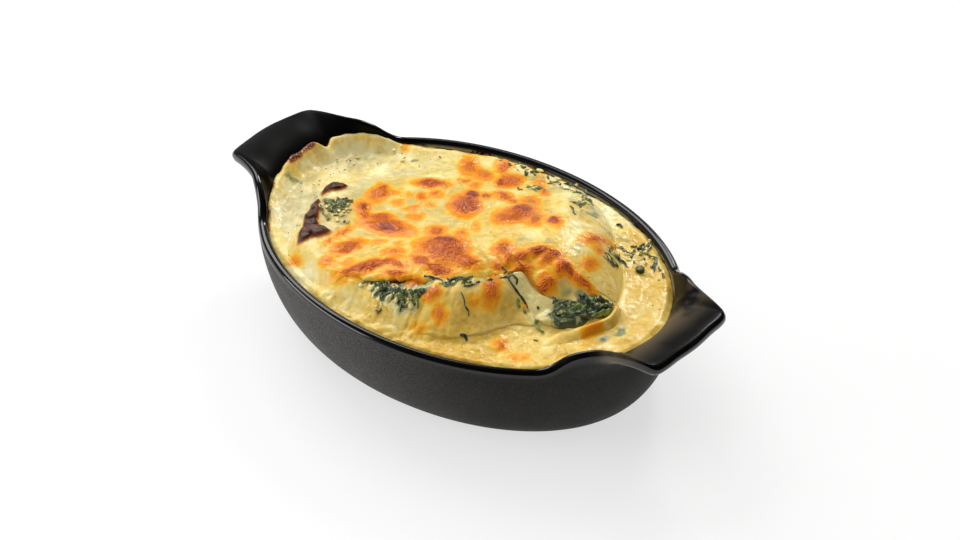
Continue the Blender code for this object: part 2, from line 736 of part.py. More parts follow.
def build_food():
    stack = bpy.data.objects.new("stack", None)
    stack.location = (STACK_X, STACK_Y, 0.0)
    stack.rotation_euler = (0.0, 0.0, STACK_TURN)
    bpy.context.scene.collection.objects.link(stack)
    pasta = finish("pasta", (0.85, 0.70, 0.36), 0.40)
    spinach = finish("spinach", (0.035, 0.075, 0.030), 0.35)
    cheese = finish("cheese", (0.80, 0.50, 0.17), 0.40)
    layer("lower_pasta_sheet", lower_extent, (0.020, -0.010), 72,
          lower_top, lower_bottom, pasta, FINEST, stack)
    layer("spinach_filling", filling_extent, (0.005, -0.008), 72,
          filling_top, filling_bottom, spinach, FINEST, stack, FINEST)
    layer("upper_pasta_sheet", sheet_extent, (0.005, 0.0), 80,
          sheet_top, sheet_bottom, pasta, FINE, stack)
    layer("cheese_gratin", cheese_extent, (0.0, 0.010), 96,
          cheese_top, cheese_bottom, cheese, FINE, stack)
    build_tuft(stack, spinach)
    build_front_patch(stack, spinach)
    for k, (x, y, length, width, heading, curl) in enumerate(CREAM_LEAVES):
        leaf("spinach_leaf_%d" % (k + 1), x, y, length, width, heading, curl,
             lambda a, b: SAUCE_Z, spinach)
    for k, (x, y, length, width, heading, curl) in enumerate(CHEESE_LEAVES):
        leaf("spinach_leaf_back_%d" % (k + 1), x, y, length, width, heading, curl,
             lambda a, b: float(cheese_top(*to_stack(a, b))) + 0.0004, spinach)
    build_stalk(finish("stalk", (0.20, 0.32, 0.06), 0.35))


def main():
    for thing in list(bpy.data.objects):
        bpy.data.objects.remove(thing, do_unlink=True)
    build_dish()
    build_cream()
    build_food()


main()
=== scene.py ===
"""The looks of a vegetarian lasagna baked in an oval stoneware dish.

The dish lies along X. The stack of pasta, spinach and cheese lies turned in it, and
has a frame of its own: u runs along the stack, v across it, away from the camera.
"""
import math

import bpy
import numpy as np
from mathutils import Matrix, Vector


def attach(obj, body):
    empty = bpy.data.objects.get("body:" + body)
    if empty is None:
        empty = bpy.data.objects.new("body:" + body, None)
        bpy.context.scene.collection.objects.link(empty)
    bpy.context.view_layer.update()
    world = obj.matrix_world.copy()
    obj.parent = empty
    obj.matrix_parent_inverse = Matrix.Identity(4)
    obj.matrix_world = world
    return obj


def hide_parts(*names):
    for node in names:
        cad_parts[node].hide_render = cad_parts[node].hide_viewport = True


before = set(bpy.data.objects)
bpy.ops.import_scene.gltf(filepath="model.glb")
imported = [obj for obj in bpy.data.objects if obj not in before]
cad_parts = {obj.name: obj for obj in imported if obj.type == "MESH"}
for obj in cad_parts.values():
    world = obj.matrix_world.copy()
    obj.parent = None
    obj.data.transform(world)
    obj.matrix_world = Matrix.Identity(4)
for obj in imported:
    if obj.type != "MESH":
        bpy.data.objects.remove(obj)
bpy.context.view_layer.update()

MM = 0.001

# The photograph
# A studio packshot from above and to one side, through a long lens, with soft white
# light from the left and behind. Everything around the dish is white.
camera = bpy.data.objects.new("camera", bpy.data.cameras.new("camera"))
bpy.context.scene.collection.objects.link(camera)
bpy.context.scene.camera = camera
camera.data.lens = 81.59
camera.data.sensor_width = 36.0
camera.data.clip_start = 0.05
camera.location = (0.51796, -0.59283, 0.61042)
looks_at = Vector((0.01641, -0.00965, 0.04620))
camera.rotation_euler = (looks_at - camera.location).to_track_quat("-Z", "Y").to_euler()
bpy.context.scene.view_settings.view_transform = "Standard"


def softbox(name, place, aim, width, height, power, colour=(1.0, 1.0, 1.0)):
    """Rectangular studio light that points at the dish."""
    light = bpy.data.lights.new(name, "AREA")
    light.shape = "RECTANGLE"
    light.size = width
    light.size_y = height
    light.energy = power
    light.color = colour
    holder = bpy.data.objects.new(name, light)
    holder.location = place
    holder.rotation_euler = (Vector(aim) - Vector(place)).to_track_quat("-Z", "Y").to_euler()
    bpy.context.scene.collection.objects.link(holder)
    return holder


softbox("window_left", (-1.00, 0.36, 0.95), (0, 0, 0.04), 0.90, 0.75, 8.5)
softbox("lamp_behind", (-0.36, 1.08, 0.86), (0, 0, 0.05), 0.30, 0.30, 6.0, (1.0, 0.98, 0.95))
overhead = softbox("overhead_cloth", (-0.55, 0.22, 1.50), (0, 0, 0.04), 3.2, 3.2, 20.5)
overhead.visible_glossy = False
softbox("front_cloth", (-1.00, -0.95, 0.42), (0, 0, 0.03), 1.0, 0.5, 8.0)

sky = bpy.data.worlds.new("studio")
sky.use_nodes = True
sky.node_tree.nodes["Background"].inputs["Color"].default_value = (1.0, 1.0, 1.0, 1.0)
sky.node_tree.nodes["Background"].inputs["Strength"].default_value = 0.28
sky.cycles_visibility.glossy = False
bpy.context.scene.world = sky

floor_mesh = bpy.data.meshes.new("floor")
floor_mesh.from_pydata([(-4, -4, 0), (4, -4, 0), (4, 4, 0), (-4, 4, 0)], [], [(0, 1, 2, 3)])
floor = bpy.data.objects.new("floor", floor_mesh)
bpy.context.scene.collection.objects.link(floor)


def principled(name, colour=(0.8, 0.8, 0.8), roughness=0.5, more=None):
    """New material, its node tree and its Principled shader, with values set on the shader."""
    material = bpy.data.materials.new(name)
    material.use_nodes = True
    tree = material.node_tree
    shader = tree.nodes["Principled BSDF"]
    values = {"Base Color": (*colour, 1.0), "Roughness": roughness, **(more or {})}
    for key, value in values.items():
        shader.inputs[key].default_value = value
    return material, tree, shader


# The table glows a little, as a sheet of white acrylic does that is lit from below
white, tree, shader = principled("lit_table", (0.36, 0.36, 0.36), 0.9, {
    "Specular IOR Level": 0.0, "Emission Color": (1.0, 1.0, 1.0, 1.0), "Emission Strength": 0.64})
floor_mesh.materials.append(white)


# The dish
# An oval oven dish of black-glazed stoneware, slip-cast in one piece with a flared
# handle at each end. Its lip and handles are glossy, its outside is a satin glaze with
# fine pits, and baked-on juice has dried on the right handle.
RIM_A, RIM_B, RIM_Z = 0.1063, 0.0767, 0.0466
FOOT_A, FOOT_B = 0.0850, 0.0556
FLOOR_INSET, FLOOR_Z = 0.0040, 0.0060
WALL, HANDLE_EXTRA = 0.0046, 0.0006
SWEEP, BEND_Z = 1.86, 0.0400
FOOT_ROUND = 0.0012
HANDLE_ENDS = 31.0
# One quarter of the handle: degrees from the long axis, reach and height of its edge
HANDLE = [(0.0, 0.1265, 0.0572), (5.2, 0.1262, 0.0570), (9.2, 0.1266, 0.0564),
          (10.7, 0.1263, 0.0563), (11.7, 0.1246, 0.0568), (12.7, 0.1206, 0.0575),
          (14.4, 0.1146, 0.0578), (16.7, 0.1086, 0.0575), (19.7, 0.1041, 0.0564),
          (23.2, 0.1001, 0.0535), (25.5, 0.0982, 0.0505), (28.0, 0.0969, 0.0478)]


def step(t):
    """0 below 0, 1 above 1, smooth between."""
    t = np.clip(t, 0.0, 1.0)
    return t * t * (3.0 - 2.0 * t)


def bell(t):
    """1 at 0, 0 from 1 outward, smooth between."""
    return 0.5 * (1.0 + np.cos(math.pi * np.clip(t, 0.0, 1.0)))


def bridge(s, start, leave, end, arrive):
    """Curve from start to end as s runs from 0 to 1, with its headings at both."""
    return ((1 + 2 * s) * (1 - s) ** 2 * start + s * (1 - s) ** 2 * leave
            + s * s * (3 - 2 * s) * end + s * s * (s - 1) * arrive)


def along(t, points):
    """Smooth curve through (place, value) points, flat past its ends, with no overshoot."""
    place = np.array([p[0] for p in points])
    value = np.array([p[1] for p in points])
    run = np.diff(place)
    slope = np.diff(value) / run
    tangent = np.zeros(len(points))
    for i in range(1, len(points) - 1):
        if slope[i - 1] * slope[i] > 0.0:
            mean = (slope[i - 1] * run[i] + slope[i] * run[i - 1]) / (run[i - 1] + run[i])
            most = 3.0 * min(abs(slope[i - 1]), abs(slope[i]))
            tangent[i] = math.copysign(min(abs(mean), most), mean)
    t = np.clip(t, place[0], place[-1])
    i = np.clip(np.searchsorted(place, t) - 1, 0, len(run) - 1)
    s = (t - place[i]) / run[i]
    return bridge(s, value[i], run[i] * tangent[i], value[i + 1], run[i] * tangent[i + 1])


noise_tables = {}


def grain(x, y, size, seed):
    """Smooth noise from -1 to 1 whose lumps are about one size across."""
    if seed not in noise_tables:
        noise_tables[seed] = np.random.default_rng(seed).uniform(-1.0, 1.0, (256, 256))
    table = noise_tables[seed]
    gx = np.asarray(x) / size + 17.3 * seed
    gy = np.asarray(y) / size + 5.7 * seed
    i = np.floor(gx).astype(int)
    j = np.floor(gy).astype(int)
    fx, fy = step(gx - i), step(gy - j)
    i0, i1, j0, j1 = i % 256, (i + 1) % 256, j % 256, (j + 1) % 256
    low = table[i0, j0] * (1 - fx) + table[i1, j0] * fx
    high = table[i0, j1] * (1 - fx) + table[i1, j1] * fx
    return low * (1 - fy) + high * fy


def reach_of(a, b, angle):
    """Distance from the middle to an ellipse, along a direction in radians."""
    return a * b / math.hypot(b * math.cos(angle), a * math.sin(angle))


def outer_reach(z, angle):
    """Outside of the wall at height z."""
    fill = (1.0 - (1.0 - z / RIM_Z) ** SWEEP) ** (1.0 / SWEEP)
    return reach_of(FOOT_A + (RIM_A - FOOT_A) * fill, FOOT_B + (RIM_B - FOOT_B) * fill, angle)


def inner_reach(z, angle):
    """Inside of the wall at height z."""
    fill = (1.0 - (1.0 - (z - FLOOR_Z) / (RIM_Z - FLOOR_Z)) ** SWEEP) ** (1.0 / SWEEP)
    a, b = FOOT_A - FLOOR_INSET, FOOT_B - FLOOR_INSET
    return reach_of(a + (RIM_A - WALL - a) * fill, b + (RIM_B - WALL - b) * fill, angle)


def handle_edge(angle):
    """Reach and height of the dish's top edge along a direction."""
    turn = abs(math.degrees(math.atan2(math.sin(angle), math.cos(angle))))
    turn = min(turn, 180.0 - turn)
    rim = reach_of(RIM_A, RIM_B, angle)
    if turn >= HANDLE_ENDS:
        return rim, RIM_Z
    rim_there = reach_of(RIM_A, RIM_B, math.radians(HANDLE_ENDS))
    reach = float(along(turn, [(a, r) for a, r, z in HANDLE] + [(HANDLE_ENDS, rim_there)]))
    top = float(along(turn, [(a, z) for a, r, z in HANDLE] + [(HANDLE_ENDS, RIM_Z)]))
    return max(reach, rim), top


def upper_wall(angle, s, side):
    """Point of the wall above the bend: s runs to its edge, side is -1 inside and 1 outside."""
    reach, top = handle_edge(angle)
    out = reach - reach_of(RIM_A, RIM_B, angle)
    inside = inner_reach(BEND_Z, angle)
    outside = outer_reach(BEND_Z, angle)
    edge_wall = WALL + HANDLE_EXTRA * float(step(out / 0.010))
    thick = (outside - inside) * (1 - s) + edge_wall * s
    start = np.array([0.5 * (inside + outside), BEND_Z])
    end = np.array([reach - edge_wall / 2, top - edge_wall / 2])
    lean = math.radians(90.0 - 84.0 * float(step(out / 0.016)))
    chord = np.linalg.norm(end - start)
    leave = np.array([0.0, 1.1 * chord])
    arrive = 1.3 * chord * np.array([math.cos(lean), math.sin(lean)])
    place = bridge(s, start, leave, end, arrive)
    heading = (6 * s * (s - 1) * start + (1 - s) * (1 - 3 * s) * leave
               + 6 * s * (1 - s) * end + s * (3 * s - 2) * arrive)
    heading = heading / np.linalg.norm(heading)
    across = np.array([heading[1], -heading[0]])
    return place + side * across * thick / 2, across, heading


def edge_roll(angle, turn):
    """Point on the rounded edge, turned from its outside (0) to its inside (180 degrees)."""
    outside, across, heading = upper_wall(angle, 1.0, 1)
    inside = upper_wall(angle, 1.0, -1)[0]
    radius = np.linalg.norm(outside - inside) / 2
    a = math.radians(turn)
    return (outside + inside) / 2 + radius * (math.cos(a) * across + math.sin(a) * heading)


def ring(angles, point):
    """Ring of points from a function that gives reach and height along a direction."""
    places = np.array([point(a)[:2] for a in angles])
    return np.stack([places[:, 0] * np.cos(angles), places[:, 0] * np.sin(angles), places[:, 1]], 1)


def loft_faces(count, rings):
    """Faces of a closed body through rings of equal count, with a point at each end."""
    k = np.arange(count)
    n = (k + 1) % count
    faces = [(0, 1 + b, 1 + a) for a, b in zip(k.tolist(), n.tolist())]
    for r in range(rings - 1):
        a = 1 + r * count
        b = a + count
        faces += np.stack([a + k, a + n, b + n, b + k], 1).tolist()
    top = 1 + (rings - 1) * count
    last = 1 + rings * count
    return faces + [(top + a, top + b, last) for a, b in zip(k.tolist(), n.tolist())]


def add_piece(name, verts, faces, material, replaces=(), slot=None, sharp=None, **values):
    """Smooth-shaded piece of the object, with a value for each vertex under each name."""
    mesh = bpy.data.meshes.new(name)
    mesh.from_pydata(np.asarray(verts, dtype=float).tolist(), [], faces)
    mesh.update()
    mesh.shade_smooth()
    if sharp:
        mesh.set_sharp_from_angle(angle=math.radians(sharp))
    for key, data in values.items():
        attribute = mesh.attributes.new(key, "FLOAT", "POINT")
        attribute.data.foreach_set("value", np.asarray(data, dtype=np.float32).ravel())
    mesh.materials.append(material)
    thing = bpy.data.objects.new(name, mesh)
    bpy.context.scene.collection.objects.link(thing)
    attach(thing, "root")
    if replaces:
        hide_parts(*replaces)
    return thing


def put(tree, kind, inputs=None, **settings):
    """New node with its settings, and its inputs given as values or as links."""
    made = tree.nodes.new(kind)
    for key, value in settings.items():
        setattr(made, key, value)
    for key, value in (inputs or {}).items():
        if isinstance(value, bpy.types.NodeSocket):
            tree.links.new(value, made.inputs[key])
        else:
            made.inputs[key].default_value = value
    return made


def sums(tree, operation, a, b=0.0, clamp=False):
    """Maths node's result."""
    return put(tree, "ShaderNodeMath", {0: a, 1: b}, operation=operation, use_clamp=clamp).outputs[0]


def plus(tree, a, b, clamp=False):
    """Sum of two values."""
    return sums(tree, "ADD", a, b, clamp)


def times(tree, a, b, clamp=False):
    """Product of two values."""
    return sums(tree, "MULTIPLY", a, b, clamp)


def around(tree, value, amount):
    """Noise moved to lie about nothing, and scaled."""
    return times(tree, plus(tree, value, -0.5), amount)


def speckle(tree, where, scale, detail=2.0, roughness=0.5, distortion=0.0):
    """Noise texture's value at a place."""
    return put(tree, "ShaderNodeTexNoise", {"Vector": where, "Scale": scale, "Detail": detail,
               "Roughness": roughness, "Distortion": distortion}).outputs["Fac"]


def spread(tree, value, low, high, new_low=0.0, new_high=1.0, smooth=True):
    """Value moved from one range to another, held inside it."""
    kind = "SMOOTHSTEP" if smooth else "LINEAR"
    return put(tree, "ShaderNodeMapRange", {"Value": value, "From Min": low, "From Max": high,
               "To Min": new_low, "To Max": new_high}, interpolation_type=kind).outputs["Result"]


def tint(tree, factor, a, b, mode="MIX"):
    """Colour mixed from a to b."""
    mixer = tree.nodes.new("ShaderNodeMix")
    mixer.data_type = "RGBA"
    mixer.blend_type = mode
    for key, value in ((0, factor), (6, a), (7, b)):
        if isinstance(value, bpy.types.NodeSocket):
            tree.links.new(value, mixer.inputs[key])
        elif key:
            mixer.inputs[key].default_value = (*value, 1.0)
        else:
            mixer.inputs[key].default_value = value
    return mixer.outputs[2]


def ramp(tree, value, stops):
    """Colour of a value between (place, colour) stops."""
    node = put(tree, "ShaderNodeValToRGB", {"Fac": value})
    while len(node.color_ramp.elements) < len(stops):
        node.color_ramp.elements.new(1.0)
    for element, (place, colour) in zip(node.color_ramp.elements, stops):
        element.position = place
        element.color = (*colour, 1.0)
    return node.outputs["Color"]


def named(tree, name):
    """Value that the mesh carries for each vertex."""
    return put(tree, "ShaderNodeAttribute", attribute_name=name).outputs["Fac"]


def body_place(tree):
    """Place on the object in metres."""
    return put(tree, "ShaderNodeTexCoord").outputs["Object"]


def relief(tree, shader, height, distance, strength=1.0):
    """Fine bumps on a shader."""
    bump = put(tree, "ShaderNodeBump", {"Height": height, "Distance": distance, "Strength": strength})
    tree.links.new(bump.outputs["Normal"], shader.inputs["Normal"])
    return bump.outputs["Normal"]


quarter = np.concatenate([np.arange(0.0, 31.0, 0.62), np.linspace(31.0, 90.0, 36)[:-1]])
half_turn = np.concatenate([quarter, [90.0], 180.0 - quarter[:0:-1]])
dish_angles = np.radians(np.concatenate([half_turn, half_turn + 180.0]))

rings = []
for inset, z in ((FOOT_ROUND, 0.0), (0.0004, 0.0003), (0.0, FOOT_ROUND)):
    rings.append(ring(dish_angles, lambda a: (outer_reach(z, a) - inset, z)))
for z in np.linspace(FOOT_ROUND, BEND_Z, 22)[1:-1]:
    rings.append(ring(dish_angles, lambda a: (outer_reach(z, a), z)))
for s in np.linspace(0.0, 1.0, 13):
    rings.append(ring(dish_angles, lambda a: upper_wall(a, s, 1)[0]))
for turn in np.linspace(0.0, 180.0, 11)[1:-1]:
    rings.append(ring(dish_angles, lambda a: edge_roll(a, turn)))
for s in np.linspace(1.0, 0.0, 17):
    rings.append(ring(dish_angles, lambda a: upper_wall(a, s, -1)[0]))
for z in (0.033, 0.026, 0.019, 0.013, 0.009, FLOOR_Z):
    rings.append(ring(dish_angles, lambda a: (inner_reach(z, a), z)))
dish_verts = np.concatenate([[(0, 0, 0)], *rings, [(0, 0, FLOOR_Z)]])
per_ring = len(dish_angles)
band = np.concatenate([[0], np.repeat(np.arange(len(rings)), per_ring), [len(rings)]])
# Rings at which the gloss of the edge begins, the lip ends and the dried scum begins
GLOSSY_FROM, LIP_TO, SCUM_FROM = 32.0, 41.0, 44.0
SCUM_LOW, SCUM_HIGH = 0.0428, 0.0462
polish = step((band - GLOSSY_FROM) / 4.0)
lip = polish * (1.0 - step((band - LIP_TO) / 4.0))
above_food = step((dish_verts[:, 2] - SCUM_LOW) / 0.0008) * step((SCUM_HIGH - dish_verts[:, 2]) / 0.0010)
scum = above_food * step((band - SCUM_FROM) / 2.0) * step(dish_verts[:, 1] / 0.020) \
    * step((0.095 - np.abs(dish_verts[:, 0])) / 0.010)

stoneware, tree, shader = principled("stoneware", (0.010, 0.0096, 0.0094), 0.5, {
    "Specular IOR Level": 0.08, "Coat Roughness": 0.08})
where = body_place(tree)
gloss = named(tree, "polish")
fine = speckle(tree, where, 1500.0, 3.0, 0.6)
cloud = speckle(tree, where, 60.0, 3.0)
pits = speckle(tree, where, 620.0, 2.0)
xyz = put(tree, "ShaderNodeSeparateXYZ", {0: where})
right_ear = spread(tree, xyz.outputs["X"], 0.096, 0.104)
near_food = spread(tree, xyz.outputs["X"], 0.121, 0.103)
inside = times(tree, right_ear, gloss)
juice = times(tree, inside, spread(tree, cloud, 0.36, 0.60))
juice = times(tree, juice, near_food, True)
glaze = tint(tree, spread(tree, fine, 0.35, 0.75), (0.0520, 0.0502, 0.0474), (0.1300, 0.1250, 0.1170))
# Painted shade: the glaze darkens toward the right end, where less light falls from the lamps at the left
painted_shade_right = times(tree, spread(tree, xyz.outputs["X"], -0.030, 0.075), 0.80)
glaze = tint(tree, painted_shade_right, glaze, (0.0110, 0.0107, 0.0102))
glaze = tint(tree, gloss, glaze, (0.0022, 0.0019, 0.0018))
glaze = tint(tree, times(tree, juice, 0.9), glaze, (0.120, 0.092, 0.055))
dried = spread(tree, plus(tree, cloud, times(tree, pits, 0.5)), 0.62, 0.86)
dried = times(tree, dried, named(tree, "scum"))
glaze = tint(tree, dried, glaze, (0.30, 0.27, 0.20))
tree.links.new(glaze, shader.inputs["Base Color"])
matte = spread(tree, gloss, 0.0, 1.0, 0.54, 0.34)
rough = plus(tree, matte, times(tree, spread(tree, cloud, 0.3, 0.7), 0.10))
tree.links.new(plus(tree, rough, times(tree, juice, 0.15)), shader.inputs["Roughness"])
tree.links.new(times(tree, named(tree, "lip"), 0.9), shader.inputs["Coat Weight"])
height = plus(tree, times(tree, fine, 0.6), pits)
calm = times(tree, height, spread(tree, gloss, 0.0, 1.0, 1.0, 0.20))
relief(tree, shader, calm, 0.00012, 0.55)
add_piece("dish_body", dish_verts, loft_faces(per_ring, len(rings)), stoneware,
          replaces=("dish",), slot="stoneware", polish=polish, lip=lip, scum=scum)


# The cream sauce
# Spinach cream that was poured round the pasta and has set in the oven. It fills the
# dish, climbs the left handle as a thin crust, is hollow and olive along that crust,
# and darkens where spinach lies under its skin.
SAUCE_Z = 0.0446
# Height of the crust that climbs the left handle: degrees round from its middle, height
CRUST_LINE = [(-44.0, 0.0432), (-36.0, 0.0438), (-31.0, 0.0450), (-28.0, 0.0464),
              (-25.5, 0.0478), (-23.2, 0.0490), (-19.7, 0.0506), (-16.7, 0.0513),
              (-14.4, 0.0512), (-11.0, 0.0508), (-5.0, 0.0507), (2.0, 0.0504),
              (8.0, 0.0493), (15.0, 0.0474), (24.0, 0.0449), (38.0, 0.0432)]
STACK_X, STACK_Y, STACK_TURN = 0.0, -0.010, math.radians(22.0)
GAP = 0.0003
CHEESE = 0.0024
# Crest of the stack along u: its place across, its height over the dish's foot, and how
# far the stack slopes down in front of it and behind it
CREST_V = [(-0.080, -0.014), (-0.068, -0.018), (-0.055, -0.025), (-0.038, -0.031),
           (-0.015, -0.033), (0.005, -0.031), (0.020, -0.027), (0.031, -0.019),
           (0.044, -0.001), (0.056, -0.001), (0.071, -0.010), (0.085, -0.014)]
CREST_Z = [(-0.082, 0.0446), (-0.076, 0.0458), (-0.069, 0.0508), (-0.060, 0.0518),
           (-0.038, 0.0535), (-0.015, 0.0585), (0.005, 0.0615), (0.020, 0.0620),
           (0.031, 0.0615), (0.044, 0.0620), (0.056, 0.0605), (0.071, 0.0545),
           (0.079, 0.0480), (0.086, 0.0454), (0.094, 0.0446)]
FRONT_RUN = [(-0.080, 0.016), (-0.060, 0.020), (-0.038, 0.027), (-0.015, 0.030),
             (0.005, 0.033), (0.020, 0.035), (0.031, 0.037), (0.044, 0.044),
             (0.056, 0.040), (0.071, 0.030), (0.085, 0.024)]
BACK_RUN = [(-0.080, 0.070), (-0.050, 0.105), (-0.020, 0.125), (0.020, 0.120),
            (0.040, 0.095), (0.060, 0.058), (0.085, 0.028)]
BACK_FALL = 1.15
# How far each layer reaches in front of the crest along u
CHEESE_FRONT = [(-0.080, 0.040), (-0.045, 0.030), (-0.036, 0.006), (0.028, 0.004),
                (0.036, 0.006), (0.044, 0.019), (0.052, 0.021), (0.062, 0.0165),
                (0.071, 0.005), (0.080, 0.001)]
SHEET_FRONT = [(-0.080, 0.002), (0.036, 0.002), (0.044, 0.015), (0.052, 0.017),
               (0.062, 0.0125), (0.071, 0.002), (0.080, -0.002)]
FLAP_U, FLAP_REACH = -0.008, 0.040
CREASE_U, CREASE_V, CREASE_TURN = 0.0398, -0.0270, math.radians(49.4)
CURL_U, CURL_V, CURL_TURN = 0.052, -0.041, math.radians(42.0)
CURL_LENGTH = 0.042
# The curled end of the lowest sheet: place along it, then where its crest runs, how high
# it stands, and how wide its outer side is
CURL_CREST = [(-0.006, 0.0060), (0.0026, 0.0056), (0.0088, 0.0052), (0.0138, 0.0056),
              (0.0177, 0.0060), (0.0226, 0.0066), (0.0287, 0.0064), (0.0339, 0.0046),
              (0.0388, 0.0000), (0.0440, -0.0050)]
CURL_HIGH = [(-0.008, 0.0), (0.001, 0.0014), (0.009, 0.0028), (0.018, 0.0033), (0.030, 0.0038),
             (0.0350, 0.0042), (0.0390, 0.0036), (0.0425, 0.0006), (0.048, 0.0)]
CURL_OUTER = [(0.000, 0.0080), (0.008, 0.0080), (0.014, 0.0062), (0.0217, 0.0040),
              (0.0297, 0.0030), (0.037, 0.0036), (0.044, 0.0036)]
# Burnt pasta edge: u, v, half length, half width in mm, turn in degrees, height in m
BURNS = [(-69, 32.5, 5.8, 2.9, 30, 0.0024), (-70.5, 13.5, 7.0, 2.1, 107, 0.0026),
         (-67.5, 3.5, 7.0, 3.3, 105, 0.0032), (-61.8, -9.2, 6.6, 3.8, 14, 0.0024),
         (-64.5, -13.0, 4.4, 3.0, 100, 0.0020), (-65.5, -4.0, 4.6, 2.8, 100, 0.0022)]


def to_dish(u, v):
    """Stack frame to dish frame."""
    c, s = math.cos(STACK_TURN), math.sin(STACK_TURN)
    return STACK_X + u * c - v * s, STACK_Y + u * s + v * c


def to_stack(x, y):
    """Dish frame to stack frame."""
    c, s = math.cos(STACK_TURN), math.sin(STACK_TURN)
    return (x - STACK_X) * c + (y - STACK_Y) * s, (y - STACK_Y) * c - (x - STACK_X) * s


def wall_share(u, v):
    """1 on the dish's inner wall, less inside."""
    x, y = to_dish(u, v)
    return np.hypot(x / (RIM_A - WALL), y / (RIM_B - WALL))


def dome(u, v):
    """Height of the stack under its cheese, over the cream."""
    crest_v = along(u, CREST_V)
    over_cream = along(u, CREST_Z) - SAUCE_Z
    crest = np.maximum(over_cream - CHEESE * step(over_cream / 0.0035), 0.0)
    front = bell((crest_v - v) / along(u, FRONT_RUN))
    back = bell(np.clip((v - crest_v) / along(u, BACK_RUN), 0.0, 1.0) ** BACK_FALL)
    return crest * np.where(v < crest_v, front, back) * step((0.985 - wall_share(u, v)) / 0.16)


def before_crest(u, v, reach):
    """Distance inside the line that runs a reach in front of the crest."""
    line = along(u, CREST_V) - along(u, reach)
    slope = (along(u + 0.001, CREST_V) - along(u + 0.001, reach) - line) / 0.001
    return (v - line) / np.hypot(1.0, slope)


def past_crease(u, v):
    """Distance to the right of the crease at which the upper sheet's flap ends."""
    return (u - CREASE_U) * math.cos(CREASE_TURN) + (v - CREASE_V) * math.sin(CREASE_TURN)


def sheet_shape(u, v):
    """Distance inside the upper sheet's edge, the flap included."""
    flap = np.minimum(before_crest(u, v, [(0.0, FLAP_REACH), (0.05, FLAP_REACH)]),
                      np.minimum(u - FLAP_U, -past_crease(u, v)))
    return np.maximum(before_crest(u, v, SHEET_FRONT), flap)


def curl_place(u, v):
    """Distance along the lower sheet's curled end, and outward across it."""
    c, s = math.cos(CURL_TURN), math.sin(CURL_TURN)
    return (u - CURL_U) * c + (v - CURL_V) * s, (u - CURL_U) * s - (v - CURL_V) * c


def oval(u, v, cu, cv, half_long, half_wide, turn):
    """1 on an oval's edge, 0 in its middle; sizes in millimetres, turn in degrees."""
    c, s = math.cos(math.radians(turn)), math.sin(math.radians(turn))
    p = ((u - cu * MM) * c + (v - cv * MM) * s) / (half_long * MM)
    q = ((v - cv * MM) * c - (u - cu * MM) * s) / (half_wide * MM)
    return np.hypot(p, q), q * half_wide


def cheese_inside(u, v):
    """Distance inside the cheese's ragged edge."""
    ragged = 0.0011 * grain(u, v, 0.0060, 3) + 0.0006 * grain(u, v, 0.0024, 4)
    low = (dome(u, v) - 0.0004) * 6.0
    wall = (0.965 - wall_share(u, v)) * (RIM_A - WALL)
    inside = np.minimum(np.minimum(low, before_crest(u, v, CHEESE_FRONT) + ragged), wall)
    for cu, cv, half_long, half_wide, turn, high in BURNS:
        r = oval(u, v, cu, cv, half_long, half_wide, turn)[0]
        inside = np.maximum(inside, (1.45 - r) * half_wide * MM)
    return inside


def cheese_thickness(u, v):
    """Cheese that runs thin at its edges, but hangs thick over the hollow at the front."""
    inside = cheese_inside(u, v)
    hang = (0.60 * bell((u + 0.014) / 0.022) + 0.35 * bell((u - 0.054) / 0.020)) * step((0.010 - v) / 0.01)
    run = hang + (1.0 - hang) * step(inside / 0.0110)
    thin_end = 1.0 - 0.75 * step((u - 0.063) / 0.010)
    sunk = 0.0008 * (1.0 - hang) * (1.0 - step(inside / 0.0060))
    return CHEESE * step(dome(u, v) / 0.0050) * run * thin_end - sunk


def lumpy(u, v):
    """Soft lumps, creases and small bubbles of the baked skin, the same in every layer."""
    wu = u + 0.0010 * grain(u, v, 0.0050, 101)
    wv = v + 0.0010 * grain(u, v, 0.0050, 102)
    swells = 0.00050 * grain(wu, wv, 0.0100, 91)
    curds = 2.2 * np.sqrt(grain(wu, wv, 0.0046, 92) ** 2 + 0.02) - 1.0
    bubbles = 2.2 * np.sqrt(grain(wu, wv, 0.0023, 93) ** 2 + 0.03) - 1.0
    calm = step((u - 0.066) / 0.012) * step((0.020 - v) / 0.02)
    rough = (0.55 + 0.45 * grain(u, v, 0.020, 103)) * (1.0 - 0.72 * calm)
    return swells + (0.00044 * curds + 0.00024 * bubbles) * rough + 0.00008 * grain(u, v, 0.0011, 94)


def noodle_inside(u, v):
    """Distance inside the upper pasta sheet's edge."""
    low = (dome(u, v) - 0.0012) * 3.0
    return np.minimum(low, sheet_shape(u, v) + 0.0007 * grain(u, v, 0.0080, 5))


def noodle_bare(u, v):
    """0 at the flap's left side, which lies under cream, 1 where the sheet is bare."""
    return step((u - 0.0005 + 0.0020 * grain(u, v, 0.0070, 8)) / 0.0060)


# Where the filling shows in front of the cheese at the left, reach from the crest
SQUEEZED_OUT = [(-0.080, 0.002), (-0.036, 0.002), (-0.030, 0.0060), (-0.024, 0.0100),
                (-0.017, 0.0155), (-0.008, 0.0195), (0.000, 0.0185), (0.005, 0.0120),
                (0.009, 0.0050), (0.034, 0.0140), (0.044, 0.029), (0.056, 0.033),
                (0.066, 0.024), (0.073, 0.014), (0.080, 0.004)]


def filling_inside(u, v):
    """Distance inside the spinach filling's edge, where it shows at the front."""
    p, q = curl_place(u, v)
    ragged = 0.0012 * grain(u, v, 0.0050, 6) + 0.0006 * grain(u, v, 0.0022, 7)
    front = before_crest(u, v, SQUEEZED_OUT) + ragged
    shown = np.minimum(0.0030 - before_crest(u, v, CHEESE_FRONT), 0.078 + ragged - u)
    hidden = (dome(u, v) - 0.0056) * 2.0
    return np.minimum(np.minimum(front, along(p, CURL_CREST) - 0.0012 - q), np.maximum(shown, hidden))
